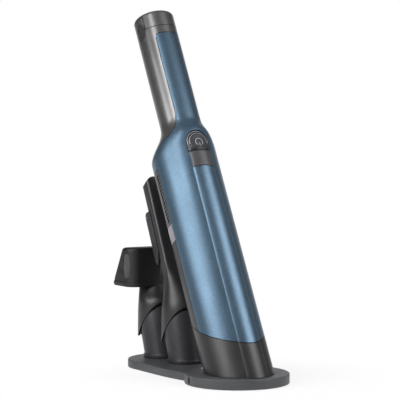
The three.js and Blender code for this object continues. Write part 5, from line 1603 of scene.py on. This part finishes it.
def round_pin(out, r0, r1, x0, x1, sides=48):
    """A cutter round a line across the tube: solid when the inner radius is zero."""
    turn = np.linspace(0, 2 * math.pi, sides + 1)[None, :]
    loop = rectangle(r0, r1, x0, x1)
    r, x = np.split(closed(loop) if r0 else loop, 2, axis=1)
    return cutter(behind_tube(np.stack([out + r * np.cos(turn), PIN_ALONG + r * np.sin(turn),
                                        x + 0 * turn], axis=-1)))


notch = (PIN_ALONG - EAR_R - EAR_ROOM, ARM_HIGH, -1.0, 2 * ARM_THICK)
carve(arm, [side_cut(*notch, EAR_AT - GAP, EAR_AT + EAR_THICK + GAP),
            side_cut(*notch, -EAR_AT - EAR_THICK - GAP, GAP - EAR_AT),
            round_pin(PIN_OUT, 0, PIN_HOLE, -BEYOND, BEYOND)])
cheek_out = ARM_THICK - CHEEK_R
cheek_ring = arm_outline(cheek_out, CHEEK_R, ARM_LOW + CHEEK_CUT)
for side, name in ((-1, "brush_cheek_left"), (1, "brush_cheek_right")):
    near, far = sorted((side * inside, side * ARM_HALF))
    cheek = solid(name, side_plate(cheek_ring, near, far, CHEEK_RIM, (cheek_out, 36.0)),
                  POST_GREY, "brush", (), "grey_satin", sharp=50)
    groove_x = sorted((side * (ARM_HALF - GROOVE_DEEP), side * BEYOND))
    carve(cheek, [round_pin(cheek_out, GROOVE_R, GROOVE_R + GROOVE_WIDE, *groove_x),
                  round_pin(PIN_OUT, 0, PIN_HOLE, -BEYOND, BEYOND)])
print("arm:", len(arm.data.polygons), "faces")

# %% [markdown]
# Bristles
#
# The tuft is one mesh of some three hundred thin tapered strands with three sides each;
# that is cheap, and every strand still catches the light on its own, which a bumpy block
# would not do. The strands splay outwards and their ends are stirred a little, as cut
# nylon is never quite even.

# %% Bristles
BRISTLE_HALF, BRISTLE_LONG, BRISTLE_THICK = 13.0, 15.0, 3.9
BRISTLE_SPLAY, BRISTLE_TRIM, BRISTLE_SINK = 6.0, 3.0, 0.6
ROOT_IN, ROOT_SIDE, ROOT_UP, ROOT_STIR = 0.2, 0.6, 1.5, (0.12, 0.15)
TIP_IN, TIP_UP, TIP_STIR, CURL, TAPER = 0.4, 0.5, (0.35, 0.4, 0.3), 1.2, 0.55


def strands(across=34, deep=9, thick=0.2, rings=4, sides=3):
    """Tapered strands on a jittered lattice from root to splayed tip: for each strand a
    stack of small rings about its centre line."""
    u, v = np.meshgrid(np.linspace(-1, 1, across), np.linspace(0, 1, deep), indexing="ij")
    u, v = u.ravel(), v.ravel()
    stir = np.random.default_rng(7).uniform(-1, 1, (4, len(u)))
    root_out = BRISTLE_SINK + ROOT_IN + (BRISTLE_THICK - BRISTLE_SINK - 2 * ROOT_IN) * v
    root = np.stack([root_out + ROOT_STIR[0] * stir[0], ARM_LOW + ROOT_UP + 0 * u,
                     (BRISTLE_HALF - ROOT_SIDE) * u + ROOT_STIR[1] * stir[1]], axis=1)
    tip_along = ARM_LOW - GAP - BRISTLE_LONG + TIP_UP + BRISTLE_TRIM * v
    tip_out = BRISTLE_SPLAY + TIP_IN + (BRISTLE_THICK - 2 * TIP_IN) * v
    tip = np.stack([tip_out + TIP_STIR[0] * stir[2], tip_along + TIP_STIR[1] * (1 + stir[3]),
                    (BRISTLE_HALF - TIP_IN) * u + TIP_STIR[2] * stir[1]], axis=1)
    t = np.linspace(0, 1, rings)[:, None, None, None]
    bend = root + (tip - root) * t ** CURL * (1, 0, 0) + (tip - root) * t * (0, 1, 1)
    turn = np.linspace(0, 2 * math.pi, sides + 1)
    ring = np.stack([np.cos(turn), 0 * turn, np.sin(turn)], axis=-1)
    spots = bend.reshape(rings, len(u), 1, 3) + thick * (1 - TAPER * t) * ring
    points = spots[-1:].mean(axis=2, keepdims=True).repeat(sides + 1, axis=2)
    spots = np.concatenate([spots, points])
    return [behind_tube(spots[:, k]) for k in range(len(u))]


tuft = strands()
piece("bristle_tuft", tuft, NYLON, "brush", ["brush_bristles"], "bristle", sharp=180)
print(len(tuft), "strands made")

# %% [markdown]
# Upholstery head
#
# A wide mouth on a round neck. The head's plan outline is a rectangle with round corners,
# and the height profile draws it in: softly at the bottom, over a low ledge above the lip,
# and round at the top, while the back slants forward. The mouth is the same outline moved
# in and carried out behind, cut from the head. Three nested ovals cut a stepped dimple into
# each front corner; their paler grey is painted light, where the corner catches the lamp,
# and stays on the cut as the painted shade does on the vents.

# %% Head
HEAD_HALF, HEAD_FRONT, HEAD_LOW, HEAD_TOP = 36.0, 147.4, 81.0, 121.6
HEAD_TOP_BACK, HEAD_LOW_BACK, HEAD_LIP, CORNER_R, BACK_R = 167.6, 185.8, 7.0, 13.0, 5.0


def head_ring(z, inset, count=14):
    """A round-cornered rectangle at a height. Its back edge slants forward above the lip."""
    rise = np.clip((z - HEAD_LOW - HEAD_LIP) / (HEAD_TOP - HEAD_LOW - HEAD_LIP), 0, 1)
    back = HEAD_LOW_BACK + (HEAD_TOP_BACK - HEAD_LOW_BACK) * rise - inset
    front, half = HEAD_FRONT + inset, HEAD_HALF - inset
    front_r, back_r = max(CORNER_R - inset, 1.0), max(BACK_R - inset * 0.5, 1.0)
    front_y, back_y = front + front_r, back - back_r
    ring = []
    for side, y, r, start in ((-1, front_y, front_r, 180), (1, front_y, front_r, 270),
                              (1, back_y, back_r, 0), (-1, back_y, back_r, 90)):
        turn = np.radians(np.linspace(start, start + 90, count))
        ring.append(np.stack([side * (half - r) + r * np.cos(turn), y + r * np.sin(turn)], axis=1))
    return at_height(np.concatenate(ring), z)


LEDGE_Z, LEDGE_IN, HEAD_END_IN = HEAD_LOW + 4.9, 0.6, 9
head_side = eased([(HEAD_END_IN, HEAD_LOW), (0, HEAD_LOW), (0, LEDGE_Z), (LEDGE_IN, LEDGE_Z + 0.1),
                   (LEDGE_IN, HEAD_TOP), (HEAD_END_IN, HEAD_TOP)], [2.4, 0.28, 0.28, 3.2], 7)

# The profile's longest step, the wall, gets rows of its own, so the back can slant in it.
straight = np.linspace(0, 1, 16)[1:-1, None]
wall_at = int(np.argmax(np.diff(head_side[:, 1])))
wall_rows = head_side[wall_at] + (head_side[wall_at + 1] - head_side[wall_at]) * straight
head_side = np.concatenate([head_side[:wall_at + 1], wall_rows, head_side[wall_at + 1:]])
head_rings = np.stack([head_ring(z, inset) for inset, z in head_side])
head = solid("upholstery_head_body", tube_grid(head_rings), HEAD_BLACK, "upholstery_tool",
             ["upholstery_head"], "dark_gloss", sharp=50)
print("head before its cuts:", len(head.data.polygons), "faces")

# %% Mouth and dimples
MOUTH_UP, MOUTH_DOWN, MOUTH_CHAMFER, MOUTH_WALL, MOUTH_BACK = 0.6, 3.0, 6.0, 3.6, 220.0
MOUTH_FLOOR, MOUTH_ROOF = HEAD_LOW + HEAD_LIP + MOUTH_UP, HEAD_TOP - MOUTH_DOWN


def mouth_ring(z, inset):
    """The head's own outline moved in, with its back edge carried out behind the head."""
    ring = head_ring(z, inset)
    behind = np.arange(len(ring)) >= len(ring) // 2
    ring[behind, 1] = MOUTH_BACK
    return ring


mouth = tube_grid(np.stack([mouth_ring(MOUTH_FLOOR, MOUTH_WALL),
                            mouth_ring(MOUTH_ROOF - MOUTH_CHAMFER, MOUTH_WALL),
                            mouth_ring(MOUTH_ROOF, MOUTH_WALL + MOUTH_CHAMFER)]))
NECK_R_TOP, NECK_Y = 14.5, 162.2


def oval_ball(place, out_angle, deep, wide, tall, rows=24, columns=48):
    """An ellipsoid whose thin axis points out at an angle from the front."""
    up = np.linspace(-math.pi / 2, math.pi / 2, rows)[:, None]
    turn = np.linspace(0, 2 * math.pi, columns + 1)[None, :]
    out, along = deep * np.cos(up) * np.cos(turn), wide * np.cos(up) * np.sin(turn)
    sine, cosine = math.sin(out_angle), math.cos(out_angle)
    return np.stack([out * sine + along * cosine, along * sine - out * cosine,
                     tall * np.sin(up) + 0 * turn], axis=-1) + place


DIMPLE_Z, DIMPLE_AT = 102.6, math.radians(74)
DIMPLE_STEPS = ((0.9, 8.0, 12.6), (1.3, 5.6, 10.0), (1.7, 3.0, 7.2))
dimple_reach = CORNER_R - LEDGE_IN
dimple_x = HEAD_HALF - CORNER_R + dimple_reach * math.sin(DIMPLE_AT)
dimple_y = HEAD_FRONT + CORNER_R - dimple_reach * math.cos(DIMPLE_AT)
ovals = [oval_ball((side * dimple_x, dimple_y, DIMPLE_Z), side * DIMPLE_AT, *size)
         for side in (-1, 1) for size in DIMPLE_STEPS]
bore = pin_cut(0, NECK_Y, NECK_R_TOP - TUBE_WALL, HEAD_LOW - 2, HEAD_LOW + HEAD_LIP + 2, 64)
# The ovals leave a paler grey of painted light on the dimples.
carve(head, [cutter(mouth), bore, *(cutter(oval, DIMPLE_LIGHT_GREY) for oval in ovals)])
rounded(head, 0.35, angle=50)
print("head with its cuts:", len(head.data.polygons), "faces")

# %% [markdown]
# Neck and lint strip
#
# The neck is a tube like the crevice tool's, round all the way, and ends inside the head. A
# strip of short pile lies in the mouth and picks up lint. The pile is a plain soft-edged
# bar, because its fibres are too short to be seen one by one.

# %% Neck and lint strip
neck_base = POST_FEET[1] + COLLAR_SHIFT
# (Height, share of the way back to the head, radius).
NECK = [(COLLAR_LOW, 0, 21), (58, 0, 20.5), (68, 0.03, 19.8), (76, 0.6, 16.6), (83.4, 1, 14.5)]
neck_stations = [(z, neck_base + (NECK_Y - neck_base) * share, 0, r, r, 2) for z, share, r in NECK]
neck_table = section_table(neck_stations)
skins = [tube_skin(neck_table, over_joint(neck_base), None, inset, rows=70)
         for inset in (0, TUBE_WALL)]
neck = walled_piece("upholstery_neck", skins[:1], skins[1:], TOOL_BLACK, "upholstery_tool", (),
                    "dark_satin", sharp=50)
rounded(face_out(neck), 0.35, angle=55)

LINT_HALF, LINT_Y, LINT_THICK, LINT_Z, LINT_TALL = 31.0, 177.8, 4.0, 88.3, 4.0
lint_top = LINT_Z + LINT_TALL
lint_ring = rectangle(-LINT_HALF, LINT_HALF, LINT_Y, LINT_Y + LINT_THICK)
lint_side = eased([(1, LINT_Z), (0, LINT_Z), (0, lint_top), (1.6, lint_top)], [0.4, 1.2], 6)
solid("lint_pile", plate(lint_ring, lint_side, (0, LINT_Y + LINT_THICK / 2)), PILE,
      "upholstery_tool", ["lint_strip"], "bristle", sharp=60)
print("neck:", len(neck.data.polygons), "faces")

# %% [markdown]
# Finishes for the CAD pieces that stay
#
# Feet, screws, pins and the works inside keep their CAD shape, which is already right.
# Each only gets its finish, by node name.

# %% Paint the CAD nodes
NODE_FINISH = {
    RUBBER: ["inlet_flap", "base_cover"] + [f"foot_{k}" for k in range(1, 7)],
    STEEL: ["hinge_pin", "ejector_rod", "motor", "motor_screw_left", "motor_screw_right",
            "ballast_plate", "front_bolt", "rear_bolt", "brush_pin", "contact_pad_left",
            "contact_pad_right"],
    BRASS: ["contact_pin_left", "contact_pin_right"],
    FELT: ["filter"],
    BOARD: ["circuit_board"],
    CELL: ["battery_cell_left", "battery_cell_right", "battery_cell_lower"],
    SMOKE: ["dust_cup"],
    CAP_GREY: ["fan_shroud", "motor_mount", "fan", "filter_frame", "cell_tray_lower",
               "cell_tray_upper", "power_switch", "power_inlet"],
    LENS: ["charge_light"],
}
for finish, names in NODE_FINISH.items():
    for name in names:
        frame["nodes"][name].data.materials.clear()
        frame["nodes"][name].data.materials.append(finish)
painted = {name for names in NODE_FINISH.values() for name in names}
bare = [name for name, node in frame["nodes"].items()
        if not node.hide_render and name not in painted]
print("painted", len(painted), "nodes; shown without a finish:", bare)

# %% [markdown]
# Floor
#
# The setting is a white sweep. The floor is pale and takes the object's soft shadow near
# it, and fades to plain white further out, so no horizon shows.

# %% Floor
FLOOR_R, FLOOR_Y, FLOOR_DROP = 4000.0, 60.0, 0.1
FADE_FROM, FADE_TO, FADE_LEAST = 0.05, 0.2, 0.8


def floor_disc(radius, rings=24, sides=72):
    """A flat disc just under the feet: rings at equal steps of the radius."""
    r = radius * np.linspace(0, 1, rings)[:, None]
    angle = np.linspace(0, 2 * math.pi, sides + 1)[None, :]
    disc = np.stack([r * np.cos(angle), r * np.sin(angle) + FLOOR_Y,
                     0 * r * angle - FLOOR_DROP], axis=-1)
    return disc[:, ::-1]


def worked_out(made, operation, first, second):
    """One step of arithmetic on two values."""
    node = add_node(made, "ShaderNodeMath", {0: first, 1: second}, operation=operation)
    return node.outputs["Value"]


def eased_step(made, value, low, high, least=0.0):
    """An S-shaped rise to 1 as the value goes from low to high, from a least value."""
    node = add_node(made, "ShaderNodeMapRange", {
        "Value": value, "From Min": low, "From Max": high, "To Min": least},
        interpolation_type="SMOOTHSTEP")
    return node.outputs["Result"]


def seen_straight(made, share=None):
    """1 where the camera looks, and where a reflection or refraction does: for those, times
    the share, when one is given."""
    ray = add_node(made, "ShaderNodeLightPath").outputs
    shine = worked_out(made, "MAXIMUM", ray["Is Glossy Ray"], ray["Is Transmission Ray"])
    if share is not None:
        shine = worked_out(made, "MULTIPLY", shine, share)
    return worked_out(made, "MAXIMUM", ray["Is Camera Ray"], shine)


def floor_finish():
    """Pale matte near the object, mixed by distance into plain white."""
    made, shader, place = fresh_material("pale_floor")
    away = add_node(made, "ShaderNodeVectorMath", {0: place}, operation="LENGTH")
    fade = eased_step(made, away.outputs["Value"], FADE_FROM, FADE_TO, FADE_LEAST)
    white = add_node(made, "ShaderNodeEmission", {"Strength": 1.0})
    mixed = add_node(made, "ShaderNodeMixShader", {
        "Fac": worked_out(made, "MULTIPLY", fade, seen_straight(made)),
        1: shader.outputs["BSDF"], 2: white.outputs["Emission"]})
    out = next(n for n in made.node_tree.nodes if n.type == "OUTPUT_MATERIAL")
    feed(out, {"Surface": mixed.outputs["Shader"]})
    grain = ramp_node(made, noise(made, place, 9.0), [(0.3, grey(0.9)), (0.7, grey(0.93))])
    feed(shader, {"Base Color": grain, "Roughness": 0.8, "Specular IOR Level": 0.1})
    return made


floor = piece("floor", floor_disc(FLOOR_R), floor_finish(), None)
print("floor laid", FLOOR_DROP, "mm under the feet")

# %% [markdown]
# Lamps and backdrop
#
# The world is white where the camera looks past the object and where a reflection meets the
# backdrop behind it, and gives soft light from above elsewhere. Four soft lamps do the
# rest: one close on the left for the broad highlight down the flank, one for the grey
# handle, one for the raised band in front, and a weak one from far off that opens the shade.

# %% Lamps and world
def soft_lamp(name, place, aim, width, height, watts):
    """A rectangular area lamp at a place, turned towards a point."""
    lamp = bpy.data.lights.new(name, "AREA")
    lamp.shape, lamp.size, lamp.size_y, lamp.energy = "RECTANGLE", width, height, watts
    made = bpy.data.objects.new(name, lamp)
    made.location = place
    made.rotation_euler = (Vector(aim) - Vector(place)).to_track_quat("-Z", "Y").to_euler()
    bpy.context.scene.collection.objects.link(made)
    made.visible_camera = False


# Name; place, aim, width and height in metres; power in watts.
LAMPS = (("lamp_left", (-0.62, 0.01, 0.37), (0.0, 0.07, 0.18), 0.5, 0.34, 3.3),
         ("lamp_handle", (-0.43, -0.15, 0.63), (0.0, 0.13, 0.33), 0.22, 0.3, 1.6),
         ("lamp_band", (0.283, -0.35, 0.44), (0.0, 0.03, 0.13), 0.38, 0.36, 2.1),
         ("lamp_fill", (0.64, -0.88, 1.15), (0.0, 0.07, 0.19), 0.9, 0.9, 2.0))
for row in LAMPS:
    soft_lamp(*row)
BACKDROP_AT, BACKDROP_FROM, BACKDROP_TO = (0.52, 0.854, 0.0), 0.7, 0.95


def soft_world():
    """White where the camera looks, and where a reflection meets the backdrop behind the
    object; elsewhere a dim room, brighter from overhead."""
    world = bpy.data.worlds.new("studio")
    bpy.context.scene.world = world
    world.use_nodes = True
    world.node_tree.nodes.clear()
    place = add_node(world, "ShaderNodeTexCoord").outputs["Generated"]
    parts = add_node(world, "ShaderNodeSeparateXYZ", {"Vector": place})
    sky = ramp_node(world, parts.outputs["Z"],
                    [(0.0, grey(0.2)), (0.5, grey(0.26)), (1.0, grey(0.8))])
    towards = add_node(world, "ShaderNodeVectorMath", {0: place, 1: BACKDROP_AT},
                       operation="DOT_PRODUCT")
    behind = eased_step(world, towards.outputs["Value"], BACKDROP_FROM, BACKDROP_TO)
    soft = add_node(world, "ShaderNodeBackground", {"Color": sky, "Strength": 0.35})
    white = add_node(world, "ShaderNodeBackground", {"Color": grey(1.0), "Strength": 1.0})
    mixed = add_node(world, "ShaderNodeMixShader", {
        "Fac": seen_straight(world, behind), 1: soft.outputs["Background"],
        2: white.outputs["Background"]})
    add_node(world, "ShaderNodeOutputWorld", {"Surface": mixed.outputs["Shader"]})


soft_world()
print(len(LAMPS), "lamps and the world set")
